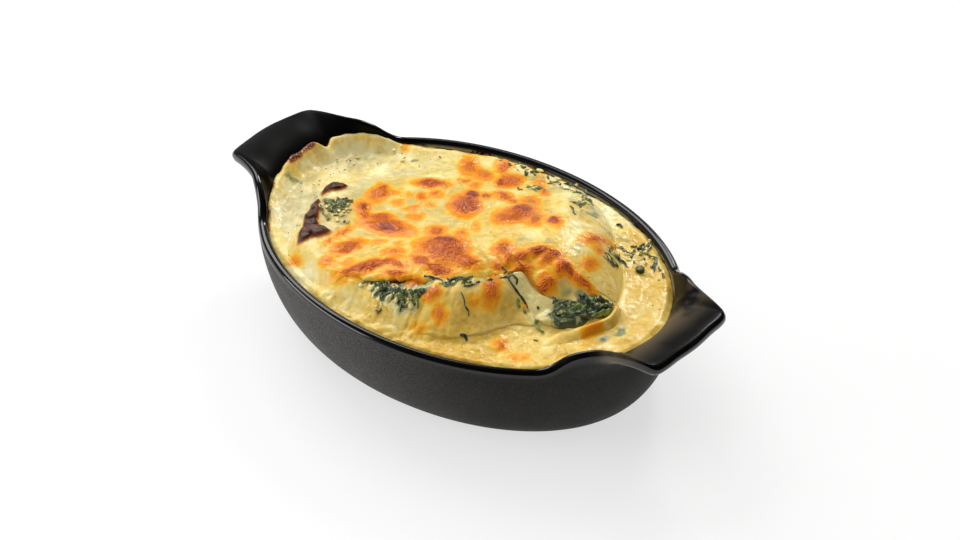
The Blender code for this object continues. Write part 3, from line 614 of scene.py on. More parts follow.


# Browned places as the photograph shows them, and one of painted shade: what they are, pixel
# of their middle, half sizes in pixels, tilt in degrees, how dark they baked or are shaded
SEEN = [
    ("back oval", 432.7, 182.7, 18, 5.2, 3, 0.78),
    ("back peak", 471.4, 167.3, 9, 8, 0, 0.55),
    ("back peak tail", 484.7, 174, 10, 5.5, 15, 0.52),
    ("back peak foot", 467.3, 179.6, 6.5, 2.4, 0, 0.60),
    ("rim blister wet", 511, 180, 14, 7, -10, 0.62),
    ("rim blister red", 501, 182.8, 5, 3.5, 0, 0.85),
    ("fold top", 473.5, 195, 8, 5, 10, 1.00),
    ("fold body", 466.3, 206, 17, 12, -5, 0.78),
    ("fold tail", 487.8, 197, 7, 3, 5, 0.68),
    ("fold fleck", 477.5, 185.7, 4.5, 2.2, 0, 0.45),
    ("right strip", 506.6, 197.4, 9, 4, 15, 0.60),
    ("right strip end", 515.3, 203, 6, 3, 10, 0.55),
    ("right fleck", 531.6, 202, 7, 4, 0, 0.48),
    ("right body", 519.4, 215.3, 21, 8.5, -8, 0.66),
    ("right lobe", 503, 218.4, 7.5, 6.5, 0, 0.55),
    ("right brown", 524, 210.5, 12, 5, -5, 0.78),
    ("right knob", 537.8, 220.4, 9.5, 5.5, -15, 0.60),
    # Painted shade: the knob's right side, away from the lamps, darkened as if browned
    ("right knob shade", 557, 221.4, 7, 5, 20, 0.85),
    ("centre spot", 423.5, 197, 5, 3.5, 0, 0.48),
    ("centre spot 2", 438.3, 193.9, 5.5, 3, 0, 0.42),
    ("yellow a", 409.7, 195.4, 3, 2, 0, 0.30),
    ("yellow b", 431.6, 206, 3.5, 2.2, 0, 0.28),
    ("yellow c", 413.7, 208.8, 6, 2.2, -5, 0.35),
    ("yellow d", 416.7, 217, 7, 3, 0, 0.35),
    ("yellow e", 400.4, 202.7, 5, 2.5, 0, 0.30),
    ("yellow f", 478.6, 227.5, 2.2, 2.2, 0, 0.32),
    ("yellow g", 463.3, 234.7, 4, 3, -30, 0.42),
    ("big top", 437.8, 233, 9.5, 6, 0, 0.62),
    ("big body", 444, 250, 29, 14, 10, 0.70),
    ("big dark", 443.5, 243, 13, 4.5, 8, 0.92),
    ("big left", 423, 262, 11, 6, 10, 0.70),
    ("big right", 468, 262, 13, 7, 15, 0.66),
    ("big foot", 440, 268, 15, 5, 5, 0.72),
    ("ridge spot", 504.5, 249.5, 11, 7.5, -10, 0.55),
    ("ridge spot low", 508, 258, 6, 5, 0, 0.50),
    ("left upper", 381, 192.4, 12, 8, -25, 0.55),
    ("left upper core", 384, 188, 7, 4, -10, 0.72),
    ("left upper fleck", 393.5, 192.4, 3.5, 1.8, 0, 0.40),
    ("left small", 365, 206.5, 8.5, 6, 0, 0.62),
    ("left small core", 366, 208, 4, 3.5, 0, 0.82),
    ("left main", 388, 227.4, 27, 7.5, 8, 0.66),
    ("left main core", 389, 229, 11, 3.8, 5, 0.85),
    ("left main top", 381.5, 218.3, 14, 4.5, 5, 0.72),
    ("left main start", 366, 216, 7, 6, 0, 0.60),
    ("left lower", 348.9, 247.9, 17, 5.5, -18, 0.60),
    ("left lower faint", 344.8, 233.6, 8.5, 2.4, -30, 0.50),
    ("left lower faint 2", 332.6, 241.2, 4.5, 2.5, -20, 0.50),
    ("left round", 329.5, 262, 5.5, 4, 0, 0.42),
    ("left round 2", 347.9, 263, 4.5, 3, 0, 0.32),
    ("yellow h", 380, 242.2, 6, 2.5, -5, 0.32),
    ("yellow i", 400.4, 243.3, 3, 1.8, 0, 0.30),
    ("left bar", 396, 253, 9, 4, 0, 0.45),
    ("arc", 371, 267, 31, 5, -15, 0.72),
    ("arc end", 395, 264.5, 14, 3.5, 12, 0.68),
    ("hem spot", 418, 286, 8, 4.5, 10, 0.62),
    ("hem drop", 431.5, 297, 7.5, 7.5, 0, 0.60),
    ("flap foot spot", 442, 318.4, 5.5, 6.5, 0, 0.45),
    ("flap foot faint", 421, 331.8, 6, 4, 0, 0.22),
    ("flap bar", 493.8, 291.7, 7.5, 15, 12, 0.58),
    ("flap bar faint", 477.6, 303, 6, 5, 0, 0.25),
    ("flap small", 502.4, 345.2, 5, 4.5, 0, 0.50),
    ("crease top", 500.5, 265, 8, 4, 0, 0.55),
    ("foot yellow", 518.7, 357.7, 9, 4, 0, 0.25),
    ("fold line a", 521, 256, 9, 4, -25, 0.75),
    ("fold line b", 539, 251, 11, 4, -5, 0.80),
    ("fold line c", 557, 256, 9, 4.5, 20, 0.85),
    ("fold line d", 570, 272, 4.5, 11, -28, 0.80),
    ("fold line e", 587, 284, 9, 3.5, 35, 0.70),
    ("slope small", 533, 302, 6, 5.5, 0, 0.58),
    ("slope knot", 550.3, 259.5, 9, 6, 0, 0.62),
    ("slope knot 2", 563.7, 270.6, 6, 8, 0, 0.66),
    ("right back oval", 592.4, 264, 7.5, 4.5, 0, 0.52),
    ("right back bar", 599, 240.5, 12, 3.8, 5, 0.58),
    ("wall faint a", 541, 167, 7, 3.5, 0, 0.40),
    ("wall brown b", 553, 170.5, 5, 2.2, 10, 0.75),
    ("leaf spot", 546, 193, 5, 3, 0, 0.50),
    ("wall brown d", 487, 153.7, 4, 2, 10, 0.75),
    ("wall tan e", 450.4, 142.5, 5, 2.5, 0, 0.40),
    ("wall yellow f", 407.6, 146.5, 3.5, 4.5, 0, 0.25),
]
# The same for places on slopes that the camera sees edge-on: u, v and half sizes in mm on
# the stack, turn in degrees, how dark
ON_SLOPES = [
    ("arc foot", -35, -35.5, 4.4, 2.4, 2, 0.62), ("second arc", -13, -36, 5, 2.3, -1, 0.72),
    ("edge fleck left", -64, -25, 2.4, 1.6, -32, 0.40), ("slope orange", 37.5, -16, 4.9, 3.1, 48, 0.58),
    ("slope drop", 49.5, -18, 3.8, 3.5, 9, 0.60), ("slope drop dark", 48.5, -20.5, 2.6, 1.8, 15, 0.75),
    ("right back fleck", 64, 13, 2.4, 1.5, -89, 0.42), ("wall faint c", 19.5, 67.5, 6, 1.9, -73, 0.35),
    ("curl spot", 73.5, -31, 3.4, 2.6, 47, 0.33), ("rim blister", -1, 76, 5.5, 3, -77, 0.60)]
# The camera was fitted once more after the places were read off, which moved the picture
# by these pixels
SLIP_X, SLIP_Y = -1.5, -1.0
PICTURE_WIDTH, PICTURE_HEIGHT = 960.0, 540.0
LEFT_RISE, LEFT_SPAN = 0.0055, 0.55
FOOD_HIGHEST, FOOD_LOWEST = 0.066, 0.040


def smooth_top(x, y):
    """Top of the food without its lumps: cream, its rise at the left wall, stack, cheese."""
    u, v = to_stack(x, y)
    round_left = np.arctan2(y / (RIM_B - WALL), -x / (RIM_A - WALL)) / LEFT_SPAN
    rise = LEFT_RISE * np.exp(-round_left ** 2) * step((wall_share(u, v) - 0.93) / 0.13)
    behind_front = v - along(u, CREST_V) + along(u, CHEESE_FRONT)
    return SAUCE_Z + rise + dome(u, v) + CHEESE * step(behind_front / 0.002) * step(dome(u, v) / 0.003)


def seen(x, y):
    """Place on the stack, in millimetres, that the camera shows at a pixel."""
    focal = camera.data.lens / camera.data.sensor_width * PICTURE_WIDTH
    sight = camera.rotation_euler.to_matrix() @ Vector((
        (x + SLIP_X - PICTURE_WIDTH / 2) / focal, (PICTURE_HEIGHT / 2 - y - SLIP_Y) / focal, -1.0))
    z = np.linspace(FOOD_HIGHEST, FOOD_LOWEST, 600)
    px, py = (camera.location[k] + sight[k] * (z - camera.location[2]) / sight[2] for k in (0, 1))
    gap = z - smooth_top(px, py)
    i = int(np.argmax(gap <= 0.0))
    part = gap[i - 1] / (gap[i - 1] - gap[i])
    x, y = (q[i - 1] + part * (q[i] - q[i - 1]) for q in (px, py))
    return np.array(to_stack(x, y)) / MM


def laid_down(name, x, y, half_wide, half_high, tilt, dark):
    """An oval of the photograph as the oval that it is on the stack."""
    right = (seen(x + 1.5, y) - seen(x - 1.5, y)) / 3.0
    down = (seen(x, y + 1.5) - seen(x, y - 1.5)) / 3.0
    c, s = math.cos(math.radians(tilt)), math.sin(math.radians(tilt))
    half_axes = np.stack([half_wide * (c * right + s * down), half_high * (c * down - s * right)], 1)
    axes, sizes = np.linalg.svd(half_axes)[:2]
    turn = (math.degrees(math.atan2(axes[1, 0], axes[0, 0])) + 90.0) % 180.0 - 90.0
    return (name, *seen(x, y), *sizes, turn, dark)


BROWNED_AND_SHADE = [laid_down(*row) for row in SEEN] + ON_SLOPES


def browning(u, v):
    """How brown a place is, how high it has puffed, its folds, and how yellow its fat made it."""
    wu = u + MM * (1.1 * grain(u, v, 0.0060, 11) + 0.55 * grain(u, v, 0.0021, 12))
    wv = v + MM * (1.1 * grain(u, v, 0.0060, 13) + 0.55 * grain(u, v, 0.0021, 14))
    dark, near, puff, fold, weight, warm = (np.zeros(np.shape(u)) for _ in range(6))
    for name, cu, cv, half_long, half_wide, turn, strength in BROWNED_AND_SHADE:
        r, across = oval(wu, wv, cu, cv, half_long, half_wide, turn)
        outside = (r - 1.0) * half_wide
        soft = 1.0 - step((r - 0.45) / 0.80)
        dark += (strength * soft) ** 4
        halo = min(0.36, strength) * np.exp(-(np.maximum(outside + 0.3, 0.0) / 2.2) ** 2)
        near = np.maximum(near, halo)
        warm += strength * np.exp(-(np.maximum(outside, 0.0) / 4.2) ** 2)
        rise = min(0.0016, 0.13 * MM * min(half_long, half_wide) + 0.0002)
        puff = np.maximum(puff, rise * bell(r / 1.15))
        fold += across * soft
        weight += soft
    dark = dark ** 0.25
    both = np.maximum(dark, near) + 0.25 * np.minimum(dark, near)
    fold = fold / np.maximum(weight, 1e-6) * np.clip(weight, 0, 1)
    return both, puff, fold, np.clip(warm, 0.0, 1.0)


def food_line(angle):
    """Height at which the food meets the wall; its crust climbs the left handle unevenly."""
    turn = math.degrees(math.atan2(math.sin(angle - math.pi), math.cos(angle - math.pi)))
    line = float(along(turn, CRUST_LINE))
    climb = (line - CRUST_LINE[0][1]) / 0.0080
    uneven = 0.00030 * math.sin(7 * angle + 1.0) + 0.00022 * math.sin(17 * angle) \
        + 0.00018 * math.sin(43 * angle + 2.0) + 0.00012 * math.sin(97 * angle)
    ragged = climb * (0.0006 * math.sin(29 * angle + 0.6) * math.sin(11 * angle)
                      + 0.00035 * math.sin(71 * angle) * math.sin(19 * angle + 1.0))
    notch = -0.0021 * math.exp(-((turn + 8.6) / 1.7) ** 2)
    return line + uneven * (1.0 - 0.5 * climb) + ragged + notch


def food_share(angle):
    """How far up the upper wall the food reaches, as the wall's own s."""
    low, high = 0.0, 1.0
    line = food_line(angle)
    for _ in range(22):
        mid = (low + high) / 2
        if upper_wall(angle, mid, -1)[0][1] < line:
            low = mid
        else:
            high = mid
    return low


def clear_of_wall(angle, s):
    """Reach and height on the food's side, just off the upper wall."""
    place, across = upper_wall(angle, s, -1)[:2]
    return place - across * 0.0001


cream_angles = np.radians(np.linspace(0.0, 360.0, 721)[:-1])
wall_line = np.array([food_share(a) for a in cream_angles])
edge = np.array([clear_of_wall(a, s) for a, s in zip(cream_angles, wall_line)])
left = np.exp(-(np.degrees(np.arctan2(np.sin(cream_angles - math.pi),
                                      np.cos(cream_angles - math.pi))) / 48.0) ** 2)


# Spinach that shows through the skin of cream or cheese, and painted shadow beside the
# curled sheet: u, v, half length, half width in mm, turn in degrees, strength
UNDER_SKIN_AND_SHADOW = [
    (-88.5, 34.5, 3.4, 1.9, 60, 0.85), (-91.5, 34, 3.2, 2.5, 60, 0.55), (-89, 56, 5, 2.2, 60, 0.35),
    (-85, 65, 5, 2, 40, 0.40), (-92, 48, 4, 2, 80, 0.40), (-79, 71, 5, 2, 30, 0.35),
    (-69, 64, 4.5, 1.8, 10, 0.40), (-84, 13, 3, 2, 0, 0.35), (-42, 70, 3, 2.2, 20, 0.85),
    (-44, 66, 5.5, 3, 20, 0.40), (-73, 44, 8, 3, 30, 0.25), (-54, 4, 6, 4.5, 60, 0.40),
    (-51, 1, 2.6, 1.6, 40, 0.60), (52, 43, 6, 4, 60, 0.60), (57, 7.5, 4.2, 2.8, 20, 0.60),
    (52, 21, 3, 1.6, 0, 0.35), (55, 2, 6, 2.6, -30, 0.50), (33, 4, 6.5, 2.6, 20, 0.50),
    (46, 4, 6, 2.4, -10, 0.45), (69, 54, 4.5, 2, -30, 0.50), (62, 36, 5.5, 3, -20, 0.40),
    # The first two ovals here are grey-green spinach under the cream and painted shadow that the curled
    # sheet casts beside its foot
    (79.5, -34, 4.6, 2.8, 40, 0.85), (84.5, -27, 5.2, 2.4, 50, 0.75), (22.5, 54, 4.5, 2.4, -40, 0.60),
    (50, 47, 5, 3.5, -40, 0.45), (17.5, 70, 4, 4, 0, 0.50), (11, 69, 4.5, 2.8, 0, 0.50),
    (37, 60, 7, 3, -60, 0.50), (44, 55, 6, 3.5, -50, 0.40), (58, -16, 7, 4.5, -20, 0.50),
    (65, -18, 5, 3, -20, 0.60), (52, -22, 5, 4, 40, 0.35), (41, -21, 7, 2.6, 60, 0.35),
    (44, -30, 3, 2, 60, 0.50), (49, -28.5, 2.4, 1.8, 0, 0.65), (78, 27, 6, 5, 0, 0.40),
    (70, 20, 6, 4.5, -40, 0.50), (78, 34, 4, 4, 0, 0.55),
    (87, 24, 5, 2.6, -70, 0.40), (68, 38, 6.5, 3.5, -20, 0.40), (64, 28, 5, 3.5, -30, 0.35),
    (72, 14, 4, 3, -50, 0.30), (-26, -41, 4, 2.4, -20, 0.35), (-60, -36, 8, 4, -50, 0.22),
    (-44, -52, 10, 4, -60, 0.22), (12, -34, 9, 3, 5, 0.35), (24.5, -53.5, 3, 2, 0, 0.55),
    (36, 32, 5, 2.5, -60, 0.45), (41, 50, 8, 5, -50, 0.45), (30, 60, 8, 5, -40, 0.45),
    (20, 72, 10, 4, -20, 0.45), (48, 36, 6, 4, -60, 0.40), (0, 84, 10, 3, -5, 0.35),
    (28, 66, 5, 2.6, -40, 0.50)]


def under_skin_and_shadow(u, v):
    """How much spinach shows through the skin, with the painted shadow beside the curled sheet."""
    wu = u + MM * 1.6 * grain(u, v, 0.0050, 21)
    wv = v + MM * 1.6 * grain(u, v, 0.0050, 22)
    most = np.zeros(np.shape(u))
    for cu, cv, half_long, half_wide, turn, strength in UNDER_SKIN_AND_SHADOW:
        r = oval(wu, wv, cu, cv, half_long, half_wide, turn)[0]
        most = np.maximum(most, strength * (1.0 - step((r - 0.35) / 0.85)))
    return most * (0.75 + 0.35 * grain(u, v, 0.0022, 23))


def yellowing_and_shade(u, v, warm):
    """How yellow melted fat has made the cream and the cheese, with painted shade toward the front and the
    right.
    """
    # Painted shade: the value rises toward the front and the right, so the cream comes out darker there as
    # well as yellower
    toward_front = step((-v - 0.022) / 0.040) * step((0.078 - u) / 0.045)
    toward_front = toward_front * (0.72 + 0.28 * step((u + 0.03) / 0.03))
    toward_right = step((u - 0.055) / 0.025)
    on_stack = step(dome(u, v) / 0.008)
    by_noodle = step((noodle_inside(u, v) + 0.010) / 0.010) * step((-v - 0.030) / 0.020)
    return 0.14 + 0.60 * toward_front + 0.55 * toward_right * (1.0 - on_stack) + 0.20 * on_stack \
        + 0.40 * warm + 0.30 * by_noodle * step((u + 0.005) / 0.01) + 0.20 * grain(u, v, 0.012, 98)


def cream_height(u, v, share, left_side, edge_z):
    """Height of the cream, which laps over the foot of the layers and dips under them."""
    climb = np.maximum(edge_z - SAUCE_Z, 0.0) * step((share - 0.915) / 0.080) ** 1.3
    bead = 0.0006 * left_side * bell((share - 0.982) / 0.017)
    dip = np.maximum(SAUCE_Z - edge_z, 0.0) * step((share - 0.965) / 0.035)
    hollow = 0.0016 * left_side * bell((share - 0.900) / 0.075)
    far = step((v - 0.020 + 0.4 * u) / 0.030)
    waves = 0.00030 * (1.0 + far) * grain(u, v, 0.016, 31) + 0.00020 * (1.0 + far) * grain(u, v, 0.0085, 32)
    at_side = step((1.0 - share) / 0.03)
    p, q = curl_place(u, v)
    dent = 0.0006 * bell((q - 0.0125) / 0.004) * step((p - 0.004) / 0.010) * step((CURL_LENGTH - p) / 0.010)
    bare = np.minimum(noodle_inside(u, v), (noodle_bare(u, v) - 0.6) * 0.004)
    inside = np.maximum(np.maximum(cheese_inside(u, v), filling_inside(u, v)), bare)
    lap = 0.00025 * step((inside + 0.0080) / 0.0080) \
        + 0.0019 * bell(np.hypot(u + 0.040, v + 0.041) / 0.017)
    under = step((inside - 0.0010) / 0.0095) * 0.0030
    return SAUCE_Z + climb + bead - dip - hollow + waves * at_side + 1.1 * lumpy(u, v) * at_side \
        + dome(u, v) - dent + lap - under


shares = np.concatenate([np.linspace(1.0, 0.955, 12), np.linspace(0.950, 0.50, 84),
                         np.linspace(0.49, 0.25, 12)])
rings = []
for z in (FLOOR_Z + 0.0002, 0.013, 0.026):
    rings.append(ring(cream_angles, lambda a: (inner_reach(z, a) - 0.0003, z + GAP)))
rings.append(ring(cream_angles, lambda a: clear_of_wall(a, 0.0)))
rings.append(np.stack([edge[:, 0] * np.cos(cream_angles), edge[:, 0] * np.sin(cream_angles),
                       edge[:, 1]], 1))
for share in shares[1:]:
    x = edge[:, 0] * share * np.cos(cream_angles)
    y = edge[:, 0] * share * np.sin(cream_angles)
    u, v = to_stack(x, y)
    rings.append(np.stack([x, y, cream_height(u, v, share, left, edge[:, 1])], 1))
cream_verts = np.concatenate([[(0, 0, FLOOR_Z + GAP)], *rings, [(0, 0, SAUCE_Z - 0.002)]])
count = len(cream_angles)
share_of = np.concatenate([[0], np.zeros(4 * count), np.repeat(shares, count), [0]])
left_of = np.concatenate([[0], np.tile(left, len(rings)), [0]])
cu, cv = to_stack(cream_verts[:, 0], cream_verts[:, 1])
brown, puff, fold, warm = browning(cu, cv)
on_top = share_of > 0.2
cream_verts[:, 2] += np.where(on_top & (share_of < 0.985), puff * 0.5, 0.0)
crust = step((share_of - 0.982) / 0.014) * (0.30 + 0.70 * left_of) \
    * step(0.45 + 1.0 * grain(cu, cv, 0.0045, 41))
for scorched_u, scorched_v, reach in ((-96.5, 47, 6.5), (-95.5, 57, 8.0), (-86, 72, 6.0)):
    far_off = np.hypot(cu - scorched_u * MM, cv - scorched_v * MM) / (reach * MM)
    crust = np.maximum(crust, 1.2 * step((share_of - 0.960) / 0.022) * (1.0 - step((far_off - 0.6) / 0.6)))


def olive_hollow(u, v):
    """How olive the skin is in the hollow along the left wall."""
    x, y = to_dish(u, v)
    round_left = np.exp(-(np.degrees(np.arctan2(y, -x)) / 52.0) ** 2)
    return round_left * bell((wall_share(u, v) - 0.918) / 0.050) * step(0.75 + 0.8 * grain(u, v, 0.010, 42))


olive = olive_hollow(cu, cv)
green = under_skin_and_shadow(cu, cv) * (1.0 - step((share_of - 0.965) / 0.02))

# How anything baked in this dish looks: pale where it stayed soft, yellow where fat
# gathered, orange to dark brown where it blistered, and black-brown where it burnt
BAKED_VALUES = ("Brown", "Burnt", "Green", "Olive", "Crust", "Fold")
baked = bpy.data.node_groups.new("Baked surface", "ShaderNodeTree")
for socket in BAKED_VALUES:
    baked.interface.new_socket(socket, in_out="INPUT", socket_type="NodeSocketFloat")
baked.interface.new_socket("Pale", in_out="INPUT", socket_type="NodeSocketColor")
baked.interface.new_socket("Colour", in_out="OUTPUT", socket_type="NodeSocketColor")
for socket in ("Roughness", "Height", "Browned"):
    baked.interface.new_socket(socket, in_out="OUTPUT", socket_type="NodeSocketFloat")
given = baked.nodes.new("NodeGroupInput").outputs
where = body_place(baked)
small = speckle(baked, where, 950.0, 3.0, 0.55)
broad = speckle(baked, where, 260.0, 2.0)
tiny = speckle(baked, where, 2600.0, 2.0)
mottle = plus(baked, around(baked, small, 0.42), around(baked, broad, 0.30))
lively = spread(baked, given["Brown"], 0.06, 0.42)
wrinkle = sums(baked, "SINE", plus(baked, times(baked, given["Fold"], 4.6), times(baked, broad, 26.0)))
firm = spread(baked, given["Brown"], 0.40, 0.70)
mottle = plus(baked, mottle, times(baked, times(baked, wrinkle, firm), 0.07))
value = plus(baked, given["Brown"], times(baked, mottle, lively), True)
toast = ramp(baked, value, [
    (0.00, (0.93, 0.74, 0.20)), (0.10, (0.93, 0.59, 0.065)), (0.22, (0.92, 0.44, 0.014)),
    (0.36, (0.87, 0.315, 0.003)), (0.54, (0.80, 0.215, 0.001)), (0.70, (0.69, 0.148, 0.001)),
    (0.86, (0.53, 0.092, 0.004)), (1.00, (0.28, 0.046, 0.010))])
pale_now = spread(baked, value, 0.00, 0.22)
colour = tint(baked, pale_now, (0.9, 0.7, 0.3), toast)
baked.links.new(given["Pale"], colour.node.inputs[6])
leafy = ramp(baked, plus(baked, given["Green"], around(baked, small, 0.35), True),
             [(0.0, (0.66, 0.58, 0.27)), (0.35, (0.42, 0.42, 0.19)), (0.7, (0.20, 0.23, 0.10)),
              (1.0, (0.06, 0.08, 0.03))])
colour = tint(baked, spread(baked, given["Green"], 0.08, 0.6), colour, leafy)
hollow = times(baked, given["Olive"], spread(baked, broad, 0.25, 0.7, 0.35, 0.85))
hollow = times(baked, hollow, spread(baked, value, 0.28, 0.06))
colour = tint(baked, hollow, colour, (0.51, 0.435, 0.18))
rim = ramp(baked, times(baked, given["Crust"], spread(baked, small, 0.3, 0.6, 0.5, 1.0)),
           [(0.0, (0.80, 0.60, 0.26)), (0.45, (0.62, 0.27, 0.06)), (0.8, (0.25, 0.07, 0.02)),
            (1.0, (0.10, 0.03, 0.015))])
colour = tint(baked, spread(baked, given["Crust"], 0.15, 0.55), colour, rim)
char = tint(baked, spread(baked, broad, 0.4, 0.62), (0.050, 0.017, 0.008), (0.125, 0.052, 0.032))
scorch = spread(baked, plus(baked, given["Burnt"], around(baked, small, 0.3)), 0.42, 0.62)
singed = spread(baked, given["Burnt"], 0.04, 0.42)
colour = tint(baked, singed, colour, (0.60, 0.15, 0.010))
colour = tint(baked, scorch, colour, char)
tough = spread(baked, value, 0.45, 0.72)
height = plus(baked, times(baked, times(baked, wrinkle, tough), 0.45),
              times(baked, small, spread(baked, tough, 0.0, 1.0, 0.5, 1.3)))
height = plus(baked, height, times(baked, tiny, 0.22))
out = baked.nodes.new("NodeGroupOutput").inputs
wet = spread(baked, broad, 0.35, 0.65, 0.24, 0.40)
baked.links.new(colour, out["Colour"])
baked.links.new(plus(baked, wet, times(baked, tough, 0.08)), out["Roughness"])
baked.links.new(height, out["Height"])
baked.links.new(value, out["Browned"])


def bake(tree, shader, pale, bump):
    """The baked surface over a food's own pale colour, browned by what its mesh carries."""
    carried = {key: named(tree, key.lower()) for key in BAKED_VALUES}
    group = put(tree, "ShaderNodeGroup", {**carried, "Pale": pale}, node_tree=baked)
    tree.links.new(group.outputs["Colour"], shader.inputs["Base Color"])
    tree.links.new(group.outputs["Roughness"], shader.inputs["Roughness"])
    relief(tree, shader, group.outputs["Height"], bump, 0.8)


def baked_material(name, bump=0.00035, soft=0.2):
    """Material of cream, cheese or soft pasta: cream to yellow where it has stayed pale, and darker where
    its fat value holds painted shade.
    """
    material, tree, shader = principled(name, more={
        "Subsurface Weight": soft, "Subsurface Radius": (1.0, 0.55, 0.20), "Subsurface Scale": 0.0016,
        "Specular IOR Level": 0.25, "Coat Roughness": 0.17})
    where = body_place(tree)
    drift = speckle(tree, where, 85.0, 3.0, 0.55, 0.6)
    curd = speckle(tree, where, 420.0, 2.0, 0.5)
    whey = speckle(tree, where, 150.0, 3.0, 0.6, 0.8)
    richer = around(tree, drift, 1.6)
    richer = plus(tree, richer, around(tree, curd, 0.9))
    # The fat value also carries painted shade, so its far end is darker as well as yellower
    own = ramp(tree, plus(tree, named(tree, "fat"), richer, True),
               [(0.0, (0.97, 0.86, 0.46)), (0.25, (0.93, 0.745, 0.27)), (0.55, (0.86, 0.60, 0.13)),
                (1.0, (0.68, 0.41, 0.040))])
    lean = spread(tree, named(tree, "fat"), 0.55, 0.20)
    own = tint(tree, times(tree, spread(tree, whey, 0.52, 0.80, 0.0, 0.40), lean), own,
               (0.82, 0.76, 0.36))
    lumps = speckle(tree, where, 300.0, 2.0, 0.5)
    own = tint(tree, spread(tree, lumps, 0.56, 0.76, 0.0, 0.32), own, (0.96, 0.88, 0.52))
    bake(tree, shader, own, bump)
    tree.links.new(spread(tree, named(tree, "burnt"), 0.1, 0.6, 0.22, 0.05), shader.inputs["Coat Weight"])
    return material


fat = yellowing_and_shade(cu, cv, warm) + 0.24 * left_of * step((share_of - 0.950) / 0.02)
cream_stuff = baked_material("set_cream", 0.00038)
still = np.zeros(len(cream_verts))
add_piece("cream", cream_verts, loft_faces(count, len(rings)), cream_stuff,
          replaces=("cream_sauce",), slot="cream", brown=np.where(on_top, brown, 0),
          burnt=still, green=green, olive=olive, crust=crust, fold=fold, fat=fat)


# The curled lower pasta sheet
# The end of the lowest lasagna sheet comes out of the stack at the right front and has
# curled up in the heat: a pale, soft, rounded lip, toasted on one spot.
def slab_faces(rows, columns):
    """Faces of a closed slab made of an upper and a lower grid of points."""
    faces = []
    count = rows * columns
    for i in range(rows - 1):
        for j in range(columns - 1):
            a = i * columns + j
            faces.append((a, a + columns, a + columns + 1, a + 1))
            faces.append((count + a, count + a + 1, count + a + columns + 1, count + a + columns))
    low = [i * columns for i in range(rows)]
    right = [(rows - 1) * columns + j for j in range(1, columns)]
    high = [i * columns + columns - 1 for i in range(rows - 2, -1, -1)]
    side = [j for j in range(columns - 2, 0, -1)]
    rim = low + right + high + side
    for a, b in zip(rim, rim[1:] + rim[:1]):
        faces.append((b, a, count + a, count + b))
    return faces


p_line = np.linspace(-0.008, CURL_LENGTH + 0.006, 136)
q_line = np.linspace(-0.012, 0.0150, 84)
p, q = np.meshgrid(p_line, q_line, indexing="ij")
c, s = math.cos(CURL_TURN), math.sin(CURL_TURN)
u = CURL_U + p * c + q * s
v = CURL_V + p * s - q * c
centre = along(p, CURL_CREST) + 0.0006 * grain(p, 0.0 * p, 0.009, 53)
uneven = 1.0 + 0.16 * grain(p, 0.0 * p, 0.012, 51) + 0.10 * grain(p, q * 0.4, 0.0045, 52)
side = np.where(q < centre, 0.0052, along(p, CURL_OUTER))
curl = along(p, CURL_HIGH) * uneven * bell(np.abs(q - centre) / side) ** 0.7
ripple = 0.0005 * bell((q - centre - 0.0035) / 0.0035) * grain(p, 0.3 * q, 0.0040, 55)
ripple = ripple * step((0.024 - p) / 0.01)
rim = np.minimum(np.minimum(p + 0.008, CURL_LENGTH + 0.006 - p), np.minimum(0.0150 - q, q + 0.012))
sunk = 1.0 - step(rim / 0.0030)
top = SAUCE_Z - 0.0012 + 1.28 * curl + ripple + 0.6 * lumpy(u, v) - 0.0015 * sunk
bottom = np.minimum(top - 0.0004, SAUCE_Z - 0.0018)
x, y = to_dish(u, v)
curl_verts = np.concatenate([np.stack([x.ravel(), y.ravel(), z.ravel()], 1) for z in (top, bottom)])
brown, puff, fold, warm = browning(u, v)
toasted = np.concatenate([brown.ravel()] * 2)
pasta = baked_material("soft_pasta", 0.00036, 0.25)
still = np.zeros(len(curl_verts))
add_piece("curled_sheet", curl_verts, slab_faces(*p.shape), pasta,
          replaces=("lower_pasta_sheet",), slot="pasta", sharp=60, brown=toasted,
          burnt=still, green=still, olive=still, crust=still, fold=still,
          fat=still + 0.62)


def rim_points(inside, middle, spokes):
    """Points where a distance falls to nothing, along spokes from a middle inside it."""
    run = np.linspace(0.001, 0.120, 1200)
    turn = np.linspace(0.0, 2.0 * math.pi, spokes + 1)[:-1]
    reach = []
    for a in turn:
        outside = inside(middle[0] + run * math.cos(a), middle[1] + run * math.sin(a)) < 0.0
        reach.append(run[np.argmax(outside)])
    reach = np.array(reach)
    smooth = (np.roll(reach, 1) + 2.0 * reach + np.roll(reach, -1)) / 4.0
    return turn, smooth


def layer(inside, middle, spokes, shares, height, edge_round, deep):
    """Places and heights of a layer: its top over an outline, a rounded edge, a flat back."""
    turn, reach = rim_points(inside, middle, spokes)
    rings = []
    for share in shares:
        u = middle[0] + reach * share * np.cos(turn)
        v = middle[1] + reach * share * np.sin(turn)
        rings.append((u, v, height(u, v), reach * (1.0 - share)))
    u, v = middle[0] + reach * np.cos(turn), middle[1] + reach * np.sin(turn)
    rim = height(u, v)
    places = []
    for a, b, z, left_over in reversed(rings):
        t = np.clip(1.0 - left_over / edge_round, 0.0, 1.0)
        places.append((a, b, z - edge_round * (1.0 - np.sqrt(1.0 - t * t))))
    skirt = [(u, v, rim - edge_round - deep * 0.5), (u, v, rim - edge_round - deep)]
    under = [(middle[0] + reach * k * np.cos(turn), middle[1] + reach * k * np.sin(turn), None)
             for k in (0.6, 0.2)]
    low = float(np.min(rim) - edge_round - deep)
    stack = [(a, b, np.full(spokes, low - 0.0002)) for a, b, z in reversed(under)]
    stack += [skirt[1], skirt[0]] + places
    verts = [(*to_dish(middle[0], middle[1]), low - 0.0002)]
    for a, b, z in stack:
        x, y = to_dish(a, b)
        verts.extend(np.stack([x, y, z], 1))
    x, y = to_dish(*middle)
    verts.append((x, y, float(height(np.array([middle[0]]), np.array([middle[1]]))[0])))
    return np.array(verts), loft_faces(spokes, len(stack))


def places_of(verts):
    """Stack places of points in the dish."""
    return to_stack(verts[:, 0], verts[:, 1])


